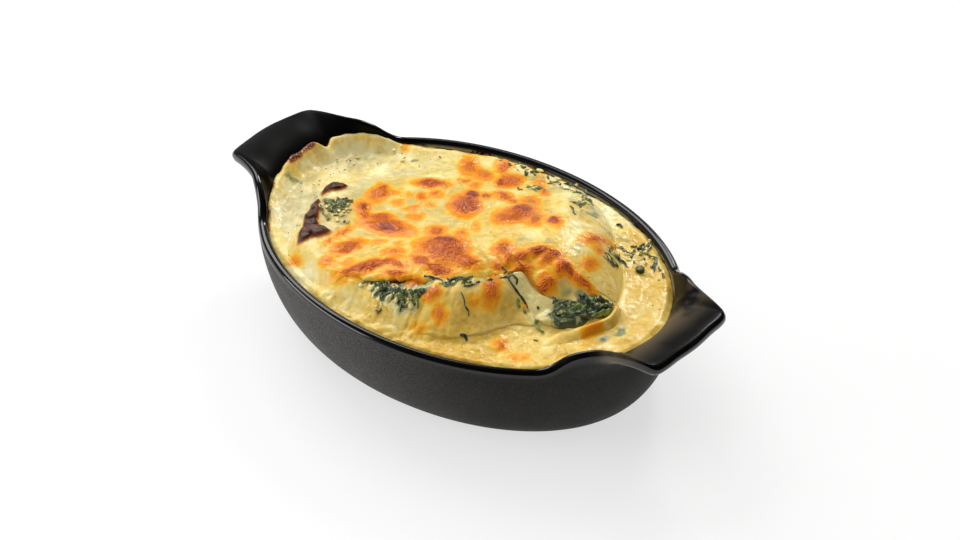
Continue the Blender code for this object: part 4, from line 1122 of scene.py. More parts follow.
# The spinach filling
# Chopped leaf spinach in cream, squeezed out between the pasta sheets. It shows at the
# left front, and as a wet dark clump between the curled sheet and the cheese.
def filling_height(u, v):
    """Lumpy top of the filling, hollow under the cheese's edge and low at its own."""
    p, q = curl_place(u, v)
    behind_lip = np.maximum(along(p, CURL_CREST) - q, 0.0)
    body = np.maximum(dome(u, v), along(u, [(0.046, 0.0026), (0.056, 0.0044)]))
    body = np.where(u > 0.030, np.minimum(body, 0.0016 + 0.55 * behind_lip), body)
    smooth = step((u - 0.030) / 0.004) * step((0.058 - u) / 0.006)
    ridge = 1.0 - 2.2 * np.sqrt(grain(u, v, 0.0034, 61) ** 2 + 0.02)
    finer = 1.0 - 2.0 * np.sqrt(grain(u, v, 0.0015, 62) ** 2 + 0.02)
    ahead = -before_crest(u, v, CHEESE_FRONT)
    hollow = 0.0015 * bell((ahead - 0.0010) / 0.0040) * step((0.010 - u) / 0.01)
    shown = step((ahead + 0.0010) / 0.002)
    reach = step(filling_inside(u, v) / 0.0040)
    rough = (0.00085 * ridge + 0.00040 * finer) * (1.0 - 0.8 * smooth)
    top = (0.0004 + rough) * reach - 0.0007 * (1.0 - reach)
    return SAUCE_Z + body - hollow * reach + shown * top - (1 - shown) * 0.0012


filling_shares = np.concatenate([[0.08, 0.2, 0.3], np.linspace(0.38, 1.0, 78)])
filling_verts, faces = layer(filling_inside, (0.012, -0.012), 560, filling_shares,
                             filling_height, 0.0010, 0.0022)
spinach, tree, shader = principled("wet_spinach", (0.05, 0.08, 0.03), 0.3, {
    "Subsurface Weight": 0.08, "Subsurface Scale": 0.0008, "Coat Weight": 0.5, "Coat Roughness": 0.12})
where = body_place(tree)
tone = named(tree, "tone")
vein = speckle(tree, where, 1500.0, 3.0, 0.6)
blotch = speckle(tree, where, 420.0, 2.0)
tone = plus(tree, tone, around(tree, blotch, 0.5), True)
leaf_colour = ramp(tree, tone, [
    (0.0, (0.036, 0.050, 0.032)), (0.35, (0.085, 0.120, 0.048)), (0.6, (0.145, 0.200, 0.048)),
    (0.8, (0.20, 0.26, 0.040)), (1.0, (0.38, 0.44, 0.08))])
milk = spread(tree, plus(tree, named(tree, "milk"), around(tree, vein, 0.5)), 0.4, 0.62)
curds = tint(tree, spread(tree, named(tree, "milk"), 0.70, 1.0), (0.52, 0.52, 0.24), (0.86, 0.72, 0.27))
leaf_colour = tint(tree, milk, leaf_colour, curds)
tree.links.new(leaf_colour, shader.inputs["Base Color"])
tree.links.new(spread(tree, vein, 0.3, 0.7, 0.18, 0.38), shader.inputs["Roughness"])
relief(tree, shader, plus(tree, vein, blotch), 0.0004, 0.8)
u, v = places_of(filling_verts)
at_right = step((u - 0.054) / 0.004)
valley = 0.62 - 0.35 * at_right + 0.9 * grain(u, v, 0.0030, 63) + 0.5 * grain(u, v, 0.0014, 64)
valley = np.clip(valley, 0, 1)
creamy = (1.0 - step((filling_inside(u, v) - 0.0005) / 0.0045)) * (1.0 - at_right)
creamy = np.maximum(creamy, step((u - 0.034) / 0.003) * step((0.0565 - u) / 0.006) * 1.1)
add_piece("spinach_layer", filling_verts, faces, spinach, replaces=("spinach_filling",),
          slot="spinach", tone=np.clip(0.26 + 0.30 * grain(u, v, 0.003, 65), 0, 1),
          milk=np.clip(valley * 0.70 + 0.9 * creamy, 0, 1))


# The upper pasta sheet
# Wide lasagna sheet, cooked soft. Its front flap hangs down over the filling into the
# cream: tan, slightly glassy, with streaks of cream that ran down it.
def noodle_height(u, v):
    """Top of the sheet, a little wavy where it hangs, sunk at its edge."""
    ahead = -before_crest(u, v, CHEESE_FRONT)
    hang = step(ahead / 0.006)
    wave = 0.00035 * grain(u + 0.25 * v, 0.0 * v, 0.0075, 71)
    lip = 0.0007 * bell((past_crease(u, v) + 0.0022) / 0.0026)
    buried = 0.0012 * (1.0 - noodle_bare(u, v)) * step((ahead + 0.004) / 0.002)
    foot = before_crest(u, v, [(0.0, FLAP_REACH), (0.05, FLAP_REACH)]) + 0.0014 * grain(u, v, 0.006, 73)
    return SAUCE_Z + dome(u, v) + 0.9 * lumpy(u, v) + hang * (wave + lip) + 0.0003 - buried \
        - 0.0013 * (1.0 - step(foot / 0.0065))


noodle_shares = np.concatenate([[0.1, 0.22, 0.32], np.linspace(0.40, 1.0, 66)])
NOODLE_SPOKES, RINGS_BELOW = 480, 4
noodle_verts, faces = layer(noodle_inside, (0.010, -0.010), NOODLE_SPOKES, noodle_shares,
                            noodle_height, 0.0008, 0.0010)
u, v = places_of(noodle_verts)
brown, puff, fold, warm = browning(u, v)
hang = before_crest(u, v, [(0.0, FLAP_REACH), (0.05, FLAP_REACH)])
first_above = RINGS_BELOW * NOODLE_SPOKES + 1
noodle_verts[first_above:, 2] += puff[first_above:] * 0.8
ahead = -before_crest(u, v, CHEESE_FRONT)
film = 0.85 * (1.0 - step((ahead - 0.002) / 0.009)) + 0.9 * step((0.009 - u) / 0.012) \
    + 1.0 * (1.0 - step((hang - 0.0020 + 0.0030 * grain(u, v, 0.005, 75)) / 0.0080)) \
    + 0.55 * step((past_crease(u, v) + 0.006) / 0.005)
film = np.clip(film + 0.30 * grain(u, v * 0.22, 0.0026, 74) + 0.12, 0, 1)
noodle, tree, shader = principled("baked_noodle", more={
    "Subsurface Weight": 0.3, "Subsurface Radius": (1.0, 0.55, 0.2), "Subsurface Scale": 0.0022,
    "Coat Weight": 0.45, "Coat Roughness": 0.14})
where = body_place(tree)
fibre = speckle(tree, where, 330.0, 3.0, 0.6, 0.4)
dough = tint(tree, spread(tree, fibre, 0.3, 0.7), (0.62, 0.385, 0.040), (0.84, 0.55, 0.095))
bake(tree, shader, tint(tree, named(tree, "film"), dough, (0.86, 0.62, 0.17)), 0.00025)
still = np.zeros(len(noodle_verts))
add_piece("noodle_sheet", noodle_verts, faces, noodle, replaces=("upper_pasta_sheet",),
          slot="pasta", brown=brown, burnt=still, green=still, olive=still, crust=still,
          fold=fold, film=film)


# The cheese
# Grated mozzarella-type cheese, melted into one skin over the stack. Fat has gathered
# in yellow pools, the high places have blistered orange to brown and wrinkled, and the
# edge of the pasta under it at the far left has burnt.

# Blisters as the solid has them: u, v, length, width, turn, height
BLISTERS = [
    (-0.047, 0.035, 0.013, 0.011, 40, 0.0010), (-0.048, 0.017, 0.010, 0.008, 20, 0.0010),
    (-0.032, 0.005, 0.027, 0.017, -20, 0.0016), (-0.026, 0.048, 0.017, 0.011, 15, 0.0010),
    (-0.002, 0.029, 0.025, 0.021, 50, 0.0020), (-0.042, -0.016, 0.020, 0.010, 35, 0.0012),
    (-0.025, -0.029, 0.030, 0.008, 15, 0.0012), (0.003, -0.014, 0.034, 0.026, 10, 0.0020),
    (0.018, -0.019, 0.018, 0.012, 20, 0.0014), (-0.012, 0.066, 0.019, 0.015, 30, 0.0010),
    (0.005, 0.064, 0.015, 0.014, 30, 0.0010), (0.020, 0.031, 0.023, 0.020, 40, 0.0018),
    (0.032, 0.022, 0.012, 0.009, 10, 0.0012), (0.045, 0.014, 0.012, 0.016, 0, 0.0012),
    (0.027, -0.007, 0.012, 0.016, 20, 0.0012), (0.060, 0.020, 0.014, 0.009, 10, 0.0010),
    (0.050, -0.017, 0.013, 0.010, -10, 0.0014), (0.039, -0.015, 0.011, 0.008, 0, 0.0012),
    (0.055, -0.009, 0.009, 0.008, 0, 0.0012)]
FOLD_LINE = [(31, -14), (37, -8), (41, -4.6), (45, -4), (49, -5.5), (53, -8.4), (58, -11.2),
             (63, -12.9), (68, -14.2), (73, -16)]


def near_line(u, v, points):
    """Distance to a line through points in millimetres."""
    least = np.full(np.shape(u), 1.0)
    for (au, av), (bu, bv) in zip(points, points[1:]):
        du, dv = (bu - au) * MM, (bv - av) * MM
        t = np.clip(((u - au * MM) * du + (v - av * MM) * dv) / (du * du + dv * dv), 0, 1)
        least = np.minimum(least, np.hypot(u - au * MM - t * du, v - av * MM - t * dv))
    return least


def burning(u, v):
    """How burnt a place is, and how high the burnt flap stands."""
    wu = u + MM * 0.9 * grain(u, v, 0.0040, 81)
    wv = v + MM * 0.9 * grain(u, v, 0.0040, 82)
    char, rise = np.zeros(np.shape(u)), np.zeros(np.shape(u))
    for cu, cv, half_long, half_wide, turn, high in BURNS:
        r = oval(wu, wv, cu, cv, half_long, half_wide, turn)[0]
        char = np.maximum(char, 1.0 - step((r - 0.72) / 0.62))
        rise = np.maximum(rise, high * step((1.22 - r) / 0.48))
    return char, rise


def cheese_height(u, v):
    """Top of the cheese with its blisters, lumps and burnt flaps."""
    thick = cheese_thickness(u, v)
    puff = browning(u, v)[1]
    rise = burning(u, v)[1]
    high = np.zeros(np.shape(u))
    for cu, cv, length, width, turn, height in BLISTERS:
        r = oval(u, v, cu / MM, cv / MM, length * 620, width * 620, turn)[0]
        high = np.maximum(high, height * bell(r))
    fade = step(dome(u, v) / 0.0030)
    ridge = 0.0009 * bell(near_line(u, v, FOLD_LINE) / 0.0046)
    return SAUCE_Z + dome(u, v) + thick + 1.1 * lumpy(u, v) + (0.65 * high + 0.65 * puff + ridge) * fade \
        + rise * (1.0 + 0.12 * grain(u, v, 0.0025, 94))


cheese_shares = np.concatenate([np.linspace(0.03, 0.97, 116), np.linspace(0.976, 1.0, 9)])
cheese_verts, faces = layer(cheese_inside, (0.0, 0.010), 680, cheese_shares,
                            cheese_height, 0.0011, 0.0007)
u, v = places_of(cheese_verts)
brown, puff, fold, warm = browning(u, v)
char, rise = burning(u, v)
band = 0.66 * bell(near_line(u, v, FOLD_LINE) / 0.0048) * (0.8 + 0.3 * grain(u, v, 0.004, 95))
brown = np.maximum(brown, band)
green = under_skin_and_shadow(u, v)
green *= 1.0 - step((brown - 0.25) / 0.2)
melted = baked_material("melted_cheese", 0.00052, 0.22)
still = np.zeros(len(cheese_verts))
add_piece("cheese", cheese_verts, faces, melted, replaces=("cheese_gratin",), slot="cheese",
          brown=brown, burnt=char, green=green, olive=olive_hollow(u, v), crust=still, fold=fold,
          fat=yellowing_and_shade(u, v, warm))


# Loose spinach
# Leaves that were stirred through the filling and the cream and came up in baking:
# wilted, wet, crumpled scraps with bits of curdled cream between them.
def surface(u, v):
    """Height of the topmost food at places of the stack."""
    u, v = np.asarray(u, dtype=float), np.asarray(v, dtype=float)
    top = SAUCE_Z + dome(u, v)
    top = np.where(filling_inside(u, v) > 0.0, filling_height(u, v), top)
    top = np.where(noodle_inside(u, v) > 0.0, np.maximum(top, noodle_height(u, v)), top)
    return np.where(cheese_inside(u, v) > 0.0, np.maximum(top, cheese_height(u, v)), top)


def scrap(rng, u, v, length, width, heading, lift, ground, thick=0.00028):
    """Crumpled scrap of leaf that hugs the food below it: its points, and faces."""
    rows, columns = 13, 6
    p = np.linspace(-0.5, 0.5, rows)[:, None] + np.zeros((1, columns))
    q = np.linspace(-1.0, 1.0, columns)[None, :] + np.zeros((rows, 1))
    half = 0.5 * width * np.sqrt(np.maximum(1.0 - (1.9 * p) ** 2, 0.05)) \
        * (1 + 0.30 * np.sin(rng.uniform(7.0, 14.0) * p + rng.uniform(0.0, 6.3)))
    high = rng.uniform(0.14, 0.34) * width
    waves, phase = rng.uniform(0.8, 1.7), rng.uniform(0.0, 6.3)
    z = high * (1.0 + np.sin(waves * math.pi * q + phase + rng.uniform(2.0, 7.0) * p))
    z += rng.uniform(-0.30, 0.30) * width * q
    z += rng.uniform(0.02, 0.10) * length * (1.0 + np.sin(rng.uniform(6.0, 12.0) * p + phase))
    bend = rng.uniform(-0.9, 0.9) * length
    a = p * length
    b = q * half + bend * (p * p - 0.1)
    c, s = math.cos(heading), math.sin(heading)
    pu, pv = u + a * c - b * s, v + a * s + b * c
    x, y = to_dish(pu, pv)
    z = ground(pu, pv) + lift + z
    verts = [np.stack([x.ravel(), y.ravel(), (z + k).ravel()], 1) for k in (thick, -thick)]
    return np.concatenate(verts), slab_faces(rows, columns)


def crumb(rng, u, v, size, lift, ground):
    """Rounded, flattened bit of curdled cream on the food below it."""
    turn = np.linspace(0.0, 2.0 * math.pi, 11)[:-1]
    rings = []
    long, wide, high = (size * rng.uniform(*span) for span in ((0.8, 1.5), (0.6, 1.0), (0.35, 0.6)))
    heading = rng.uniform(0.0, math.pi)
    c, s = math.cos(heading), math.sin(heading)
    for rise in np.linspace(-72.0, 72.0, 5):
        r = math.cos(math.radians(rise))
        a = long * r * np.cos(turn) * (1 + 0.15 * np.sin(3 * turn + heading))
        b = wide * r * np.sin(turn)
        pu, pv = u + a * c - b * s, v + a * s + b * c
        x, y = to_dish(pu, pv)
        rings.append(np.stack([x, y, ground(pu, pv) + lift + high * math.sin(math.radians(rise))], 1))
    x, y = to_dish(u, v)
    z = float(ground(np.array([u]), np.array([v]))[0]) + lift
    verts = np.concatenate([[(x, y, z - high)], *rings, [(x, y, z + high)]])
    return verts, loft_faces(10, 5)


def ribbon(rng, places, width, ground, tone, milk=0.25, lift=0.0004, thick=0.00022):
    """Wet strip of leaf that lies along places of the stack in millimetres."""
    ends = np.array(places, dtype=float) * MM
    length = np.hypot(*np.diff(ends, axis=0).T).sum()
    rows = int(np.clip(length / 0.00045, 9, 60))
    t = np.linspace(0.0, len(ends) - 1.0, rows)
    pu = along(t, list(enumerate(ends[:, 0])))
    pv = along(t, list(enumerate(ends[:, 1])))
    s = np.linspace(0.0, 1.0, rows)
    du, dv = np.gradient(pu), np.gradient(pv)
    run = np.maximum(np.hypot(du, dv), 1e-9)
    seed = int(rng.integers(200, 230))
    half = 0.5 * width * MM * (0.30 + 0.70 * np.sin(math.pi * np.clip(s, 0.04, 0.96)) ** 0.5)
    half = half * (1.0 + 0.35 * grain(s * length, 0.0 * s, 0.0011, seed))
    across = np.linspace(-1.0, 1.0, 7)[None, :]
    offset = across * half[:, None]
    shift = 0.25 * half * grain(s * length, 0.0 * s + 0.01, 0.0016, seed + 30)
    qu = pu[:, None] - (dv / run)[:, None] * (offset + shift[:, None])
    qv = pv[:, None] + (du / run)[:, None] * (offset + shift[:, None])
    arch = (1.0 - across ** 2) * half[:, None] * rng.uniform(0.3, 0.75)
    twist = rng.uniform(-0.35, 0.35) * offset
    flutter = 0.30 * half[:, None] * grain(s[:, None] * length, across * half[:, None], 0.0010, seed + 60)
    z = ground(qu, qv) + lift + arch + twist + flutter
    x, y = to_dish(qu, qv)
    verts = [np.stack([x.ravel(), y.ravel(), (z + k).ravel()], 1) for k in (thick, -thick)]
    shade = tone + 0.10 * grain(qu, qv, 0.0012, seed + 90) + 0.07 * np.abs(across) - 0.03
    film = milk + 0.34 * np.clip(grain(qu, qv, 0.0016, seed + 91), 0, 1) + 0.30 * across ** 4
    both = [np.clip(np.tile(k.ravel(), 2), 0, 1) for k in (shade, film)]
    return (np.concatenate(verts), slab_faces(rows, 7)), both[0], both[1]


def gather(parts):
    """One mesh from many: points, faces, and the two values that their points carry."""
    verts, faces, tone, milk, first = [], [], [], [], 0
    for (points, polygons), shade, cream in parts:
        verts.append(points)
        faces += [tuple(k + first for k in face) for face in polygons]
        tone.append(np.broadcast_to(shade, len(points)))
        milk.append(np.broadcast_to(cream, len(points)))
        first += len(points)
    return np.concatenate(verts), faces, np.concatenate(tone), np.concatenate(milk)


def curd(rng, u, v, size, ground, lift=0.0003):
    """Bit of curdled cream at a place of the stack in millimetres."""
    return crumb(rng, u * MM, v * MM, size * MM, lift, ground), 0.5, 1.0


def litter(rng, spots, scraps, crumbs, ground, spare=0.0006):
    """Small scraps and crumbs strewn in ovals of the stack: u, v, half sizes in mm, turn."""
    parts = []

    def somewhere():
        cu, cv, half_long, half_wide, turn = spots[rng.integers(len(spots))]
        r, a = math.sqrt(rng.uniform(0.0, 1.0)), rng.uniform(0.0, 2 * math.pi)
        c, s = math.cos(math.radians(turn)), math.sin(math.radians(turn))
        p, q = r * math.cos(a) * half_long, r * math.sin(a) * half_wide
        return (cu + p * c - q * s) * MM, (cv + p * s + q * c) * MM

    for _ in range(scraps):
        u, v = somewhere()
        length = rng.uniform(0.0022, 0.0050)
        piece = scrap(rng, u, v, length, length * rng.uniform(0.22, 0.45), rng.uniform(0, math.pi),
                      rng.uniform(-0.0005, spare), ground)
        bright = rng.uniform() < 0.25
        parts.append((piece, rng.uniform(0.55, 0.85) if bright else rng.uniform(0.05, 0.50),
                      rng.uniform(0.14, 0.60)))
    for _ in range(crumbs):
        u, v = somewhere()
        parts.append((crumb(rng, u, v, rng.uniform(0.0004, 0.0011), rng.uniform(0.0, 0.0008), ground),
                      0.5, 1.0))
    return parts


def spinach_piece(name, parts, node=None):
    """Add a heap of strips, scraps and crumbs as one piece."""
    verts, faces, tone, milk = gather(parts)
    add_piece(name, verts, faces, spinach, replaces=(node,) if node else (), slot="spinach",
              tone=tone, milk=milk)


def filling_top(u, v):
    """Top of the filling, or of the cream beyond it."""
    return np.where(filling_inside(u, v) > 0.0, filling_height(u, v), SAUCE_Z + dome(u, v))


# Strips of leaf: width in mm, how bright, and the places in mm that each runs through
DARK, DULL, MID, BRIGHT = 0.12, 0.30, 0.50, 0.78
rng = np.random.default_rng(101)
parts = litter(rng, [(-26.5, -36, 4.0, 2.8, -20), (-19, -39.5, 5.5, 3.0, -25),
                     (-11, -43, 5.5, 3.0, -25), (-4, -45.5, 4.0, 2.6, -25)], 40, 60, filling_top)
for width, tone, places in (
        (1.8, DARK, [(-24.5, -38.5), (-25.5, -36.5), (-25, -35), (-23.5, -32), (-21.5, -32)]),
        (1.4, DARK, [(-29, -38.5), (-28, -36.5), (-25, -36.5), (-21.5, -36.5), (-17, -36.5)]),
        (1.1, DULL, [(-24.5, -37), (-20.5, -38.5), (-17.5, -40.5), (-16, -39), (-16, -37.5)]),
        (1.6, DARK, [(-19.5, -45), (-17, -44.5), (-15.5, -42.5), (-12.5, -42.5)]),
        (1.8, DARK, [(-16, -45.5), (-14, -44), (-11.5, -43), (-7, -43.5), (-3, -45)]),
        (1.4, DULL, [(-3, -45.5), (-3, -43), (-4, -42)]),
        (1.2, DARK, [(-3, -45), (-5, -46), (-5.5, -48), (-5.5, -50)]),
        (1.2, BRIGHT, [(-1, -43.5), (0.5, -45), (1.5, -47.5)]),
        (0.9, DARK, [(0, -42), (1.5, -42.5)]), (0.7, DARK, [(-16.5, -50.5), (-15, -51), (-14, -50)]),
        (1.0, DULL, [(-22, -39.5), (-20, -41.5), (-21.5, -43)])):
    parts.append(ribbon(rng, places, width, filling_top, tone))
for u, v, size in ((-27, -40, 1.5), (-25.5, -39.5, 1.1), (-16.5, -48.5, 1.2), (-15, -48.5, 1.0),
                   (-10.5, -43, 1.0), (-8, -43, 1.2), (-6.5, -42.5, 1.1), (-4.5, -42, 1.3),
                   (-13, -41, 1.2), (-22.5, -41, 1.5), (-20, -41.5, 1.2), (-12, -46, 1.4),
                   (-8.5, -46.5, 1.5), (-18.5, -42.5, 1.4), (-1.5, -47.5, 1.3)):
    parts.append(curd(rng, u, v, size, filling_top))
spinach_piece("spinach_left_front", parts)

rng = np.random.default_rng(102)
parts = litter(rng, [(60, -27.5, 5.0, 3.4, 40), (67, -22.5, 6.5, 3.8, 40),
                     (73, -17.5, 5.0, 2.6, 42)], 40, 24, filling_top)
for width, tone, places in (
        (2.8, DARK, [(65, -20), (67.5, -21.5), (69.5, -23.5), (69.5, -25.5)]),
        (2.8, DARK, [(67.5, -20.5), (70.5, -20.5), (72.5, -22), (71, -25.5)]),
        (2.6, DULL, [(61, -22.5), (64, -24), (67, -26), (70, -26)]),
        (2.4, DARK, [(56.5, -29.5), (58, -26), (60.5, -23.5), (62.5, -24)]),
        (1.8, DULL, [(56.5, -30.5), (57.5, -32.5), (60.5, -34)]),
        (2.2, DARK, [(61, -29.5), (64.5, -28.5), (67, -27), (70, -26)]),
        (1.8, BRIGHT, [(64.5, -26), (65.5, -23), (68.5, -24)]),
        (1.6, MID, [(62.5, -26), (63.5, -28.5)]),
        (2.0, DULL, [(72.5, -22), (74, -20), (76, -17.5), (78, -15)]),
        (1.6, BRIGHT, [(72, -25.5), (74.5, -23), (77, -20.5), (78.5, -17.5)]),
        (1.4, DARK, [(75, -18), (76.5, -17.5), (77.5, -17)]),
        (1.4, DULL, [(68, -28), (70.5, -26.5), (73, -26)]),
        (1.4, MID, [(56, -26), (58, -23.5)]), (1.2, DULL, [(53.5, -22.5), (55, -23), (54.5, -25)]),
        (1.6, DARK, [(64.5, -19.5), (66, -20.5)])):
    parts.append(ribbon(rng, places, width, filling_top, tone, 0.12, 0.0009))
spinach_piece("spinach_right_front", parts)

rng = np.random.default_rng(103)
parts = litter(rng, [(-58, 12, 8.0, 5.0, 110), (-60, 16, 4, 4, 0)], 34, 36, surface)
for width, tone, places in (
        (1.9, DARK, [(-68, 17.5), (-67, 19), (-64.5, 18.5), (-63, 18)]),
        (1.6, DARK, [(-66.5, 15), (-65, 16), (-62.5, 15.5)]),
        (1.5, DARK, [(-67.5, 13), (-65, 9.5), (-63.5, 7)]),
        (1.7, BRIGHT, [(-64, 7), (-61, 4.5), (-59, 2.5), (-59.5, 1)]),
        (1.2, DULL, [(-60, 10), (-58.5, 8.5), (-56.5, 5.5)]),
        (1.7, DULL, [(-57, 19), (-56.5, 20.5), (-54.5, 20.5)]),
        (1.3, DARK, [(-58, 12.5), (-56.5, 11.5)]), (1.3, MID, [(-61.5, 16), (-59.5, 14), (-58.5, 15)]),
        (1.3, DARK, [(-63.5, 15), (-62.5, 13.5)]), (0.9, DARK, [(-51.5, 0.5), (-50.5, 1.5)]),
        (2.2, 0.06, [(-63, 22.5), (-60.5, 19), (-58.5, 16.5)]), (1.4, DARK, [(-62, 12), (-60.5, 9)]),
        (1.2, DULL, [(-57.5, 15.5), (-55.5, 14), (-55, 11)])):
    parts.append(ribbon(rng, places, width, surface, tone, 0.28, 0.0006))
for u, v, size in ((-60.5, 13.5, 1.2), (-60.5, 12, 1.0), (-55.5, 16, 1.0), (-54.5, 12, 1.1),
                   (-57, 9.5, 1.0), (-54.5, 6.5, 1.1), (-54.5, 1.5, 1.0), (-49.5, 1.5, 0.9),
                   (-54.5, 9.5, 1.0), (-52.5, 10, 0.9), (-59, 16.5, 1.2), (-64, 12, 1.1),
                   (-62.5, 17.5, 1.0)):
    parts.append(curd(rng, u, v, size, surface, 0.0006))
spinach_piece("spinach_tuft", parts, "spinach_tuft_left")

rng = np.random.default_rng(104)
parts = litter(rng, [(12, -35.5, 5, 1.2, 10), (19, -33, 4, 1.2, 25)], 5, 12, surface, 0.0001)
for width, tone, places in (
        (1.0, DARK, [(0, -35), (2.5, -35), (5, -34.5), (8.5, -35)]),
        (1.9, DARK, [(9, -36), (11.5, -34.5), (13.5, -32.5), (16.5, -31.5)]),
        (1.5, DULL, [(10, -37), (13, -35), (14.5, -33)]),
        (0.9, DARK, [(18, -35), (20.5, -34), (23, -31), (23.5, -30.5)]),
        (0.8, MID, [(16.5, -32), (18.5, -30.5), (20, -29)]),
        (0.7, DARK, [(18, -38.5), (20, -40.5), (21, -42.5), (23, -43.5), (23.5, -45)])):
    parts.append(ribbon(rng, places, width, surface, tone, 0.18, 0.0002))
spinach_piece("spinach_front_leaf", parts, "spinach_front_patch")

rng = np.random.default_rng(106)
parts = []
for width, tone, places in (
        (0.8, DARK, [(35, -20.5), (37.5, -21), (37.5, -23)]),
        (0.7, 0.05, [(34, -23.5), (36.5, -24.5), (39.5, -25.5), (42.5, -27), (44.5, -29)]),
        (1.5, BRIGHT, [(40, -27), (40.5, -29.5), (41.5, -30.5)]),
        (1.9, BRIGHT, [(49.5, -33.5), (51, -35.5), (54.5, -38)]),
        (1.2, MID, [(43, -30), (44.5, -31.5)]), (0.6, DARK, [(52, -44), (54, -44)]),
        (1.0, DARK, [(48.5, -28), (49.5, -28.5)]),
        (0.9, DARK, [(29.5, -18.5), (32, -20), (31.5, -21.5)]),
        (1.0, DARK, [(22.5, -53.5), (24.5, -53), (26, -54.5)])):
    parts.append(ribbon(rng, places, width, surface, tone, 0.03, 0.0002))
spinach_piece("spinach_in_the_crease", parts)

# Each loose leaf of the right side and the back: its node, its strips, its curds
rng = np.random.default_rng(105)
for node, strips, curds in (
        ("spinach_leaf_1", [(2.4, DARK, [(69.5, 22), (71.5, 21.5), (73.5, 20), (76, 17.5)]),
                            (1.2, DARK, [(68.5, 11.5), (69, 15)]),
                            (0.9, DARK, [(70.5, 10.5), (71.5, 12)])],
         [(68, 21.5), (70, 15.5), (73.5, 25.5), (75.5, 23.5)]),
        ("spinach_leaf_2", [(1.3, DARK, [(67, 19.5), (66.5, 24.5), (66.5, 27.5)])],
         [(67.5, 31.5), (66, 23)]),
        ("spinach_leaf_3", [(1.4, DARK, [(68.5, 32.5), (70, 31.5)]),
                            (1.5, DULL, [(70, 31), (72, 29.5), (72.5, 28)])],
         [(66.5, 32.5), (72, 28)]),
        ("spinach_leaf_4", [(1.9, DARK, [(76.5, 33), (77, 35.5), (78, 38)]),
                            (1.4, DARK, [(77.5, 33.5), (78.5, 35.5)]),
                            (1.5, DULL, [(79.5, 37), (80, 39), (81.5, 36)]),
                            (1.2, BRIGHT, [(78, 29), (79.5, 31), (80.5, 33.5), (81, 36)])],
         [(79.5, 41.5), (79.5, 40), (78, 32)]),
        ("spinach_leaf_5", [(1.2, DARK, [(77, 24), (78, 22)]), (1.1, DULL, [(80.5, 27), (81.5, 26)])],
         [(79, 25), (79, 22.5)]),
        ("spinach_leaf_6", [(1.4, DARK, [(82.5, 29.5), (85, 29.5), (86.5, 26.5), (87, 22.5), (87.5, 19.5)]),
                            (1.1, DULL, [(88.5, 23), (90, 20.5)]), (1.2, DARK, [(91.5, 18.5), (93, 16)])],
         [(85.5, 23.5), (91, 14)]),
        ("spinach_leaf_back_1", [(1.3, BRIGHT, [(44.5, 47), (46, 45.5), (47.5, 49)]),
                                 (1.5, DARK, [(44.5, 45), (46, 45.5), (46.5, 42.5)]),
                                 (1.5, BRIGHT, [(43, 43.5), (43.5, 45.5)]),
                                 (1.0, DARK, [(42.5, 39), (44.5, 37.5), (46.5, 33), (47.5, 32.5)])],
         [(41.5, 44.5)]),
        ("spinach_leaf_back_2", [(2.8, 0.03, [(33, 63.5), (34.5, 64.5), (36, 65.5)])],
         [(36.5, 62.5)]),
        ("spinach_leaf_back_3", [(1.2, DARK, [(17, 57), (19.5, 57.5), (21.5, 59.5)]),
                                 (1.8, DARK, [(21, 58.5), (23, 58.5)])],
         [(20.5, 55.5)])):
    parts = [ribbon(rng, places, width, surface, tone, 0.18, 0.0002) for width, tone, places in strips]
    parts += [curd(rng, u, v, rng.uniform(0.7, 1.1), surface) for u, v in curds]
    spinach_piece(node + "_wilted", parts, node)

rng = np.random.default_rng(107)
parts = litter(rng, [(33, 66, 13, 5.5, -35), (46, 50, 7, 4, -60), (10, 78, 10, 4, -15),
                     (22, 57, 5, 3, 0)], 22, 24, surface, -0.0003)
parts += litter(rng, [(70, 27, 7, 5, -60), (78, 32, 8, 4, -60), (84, 26, 6, 3, -60),
                      (69, 14, 4, 3, 90)], 12, 22, surface, -0.0003)
for width, tone, places in (
        (1.0, DARK, [(-4.5, 81.5), (-3.5, 81.5), (-3, 82.5)]), (1.9, 0.04, [(6.5, 80.5), (8, 79), (9, 80)]),
        (1.2, DARK, [(21, 76), (22.5, 72.5)]), (1.0, DARK, [(-4.5, 88), (-2, 88), (0, 88)]),
        (0.7, DULL, [(38.5, 61.5), (42, 59), (44, 55), (45.5, 49)]),
        (0.6, DULL, [(41, 71.5), (44.5, 60), (47, 51.5)]),
        (0.9, 0.06, [(13.5, 53.5), (15.5, 51), (16.5, 51.5)]),
        (1.1, DARK, [(62, 48.5), (63.5, 49), (65, 47.5)])):
    parts.append(ribbon(rng, places, width, surface, tone, 0.18, 0.0002))
for u, v, size in ((26, 75.5, 1.8), (36, 74.5, 1.5), (16, 80, 1.4), (20.5, 45.5, 1.2), (-53, 78.5, 1.2),
                   (-55, 74.5, 1.0), (-69, 63, 1.0), (-48, 67, 1.1), (30, 68, 1.2), (48, 40, 1.0)):
    parts.append(curd(rng, u, v, size, surface, 0.0))
spinach_piece("spinach_bits", parts)

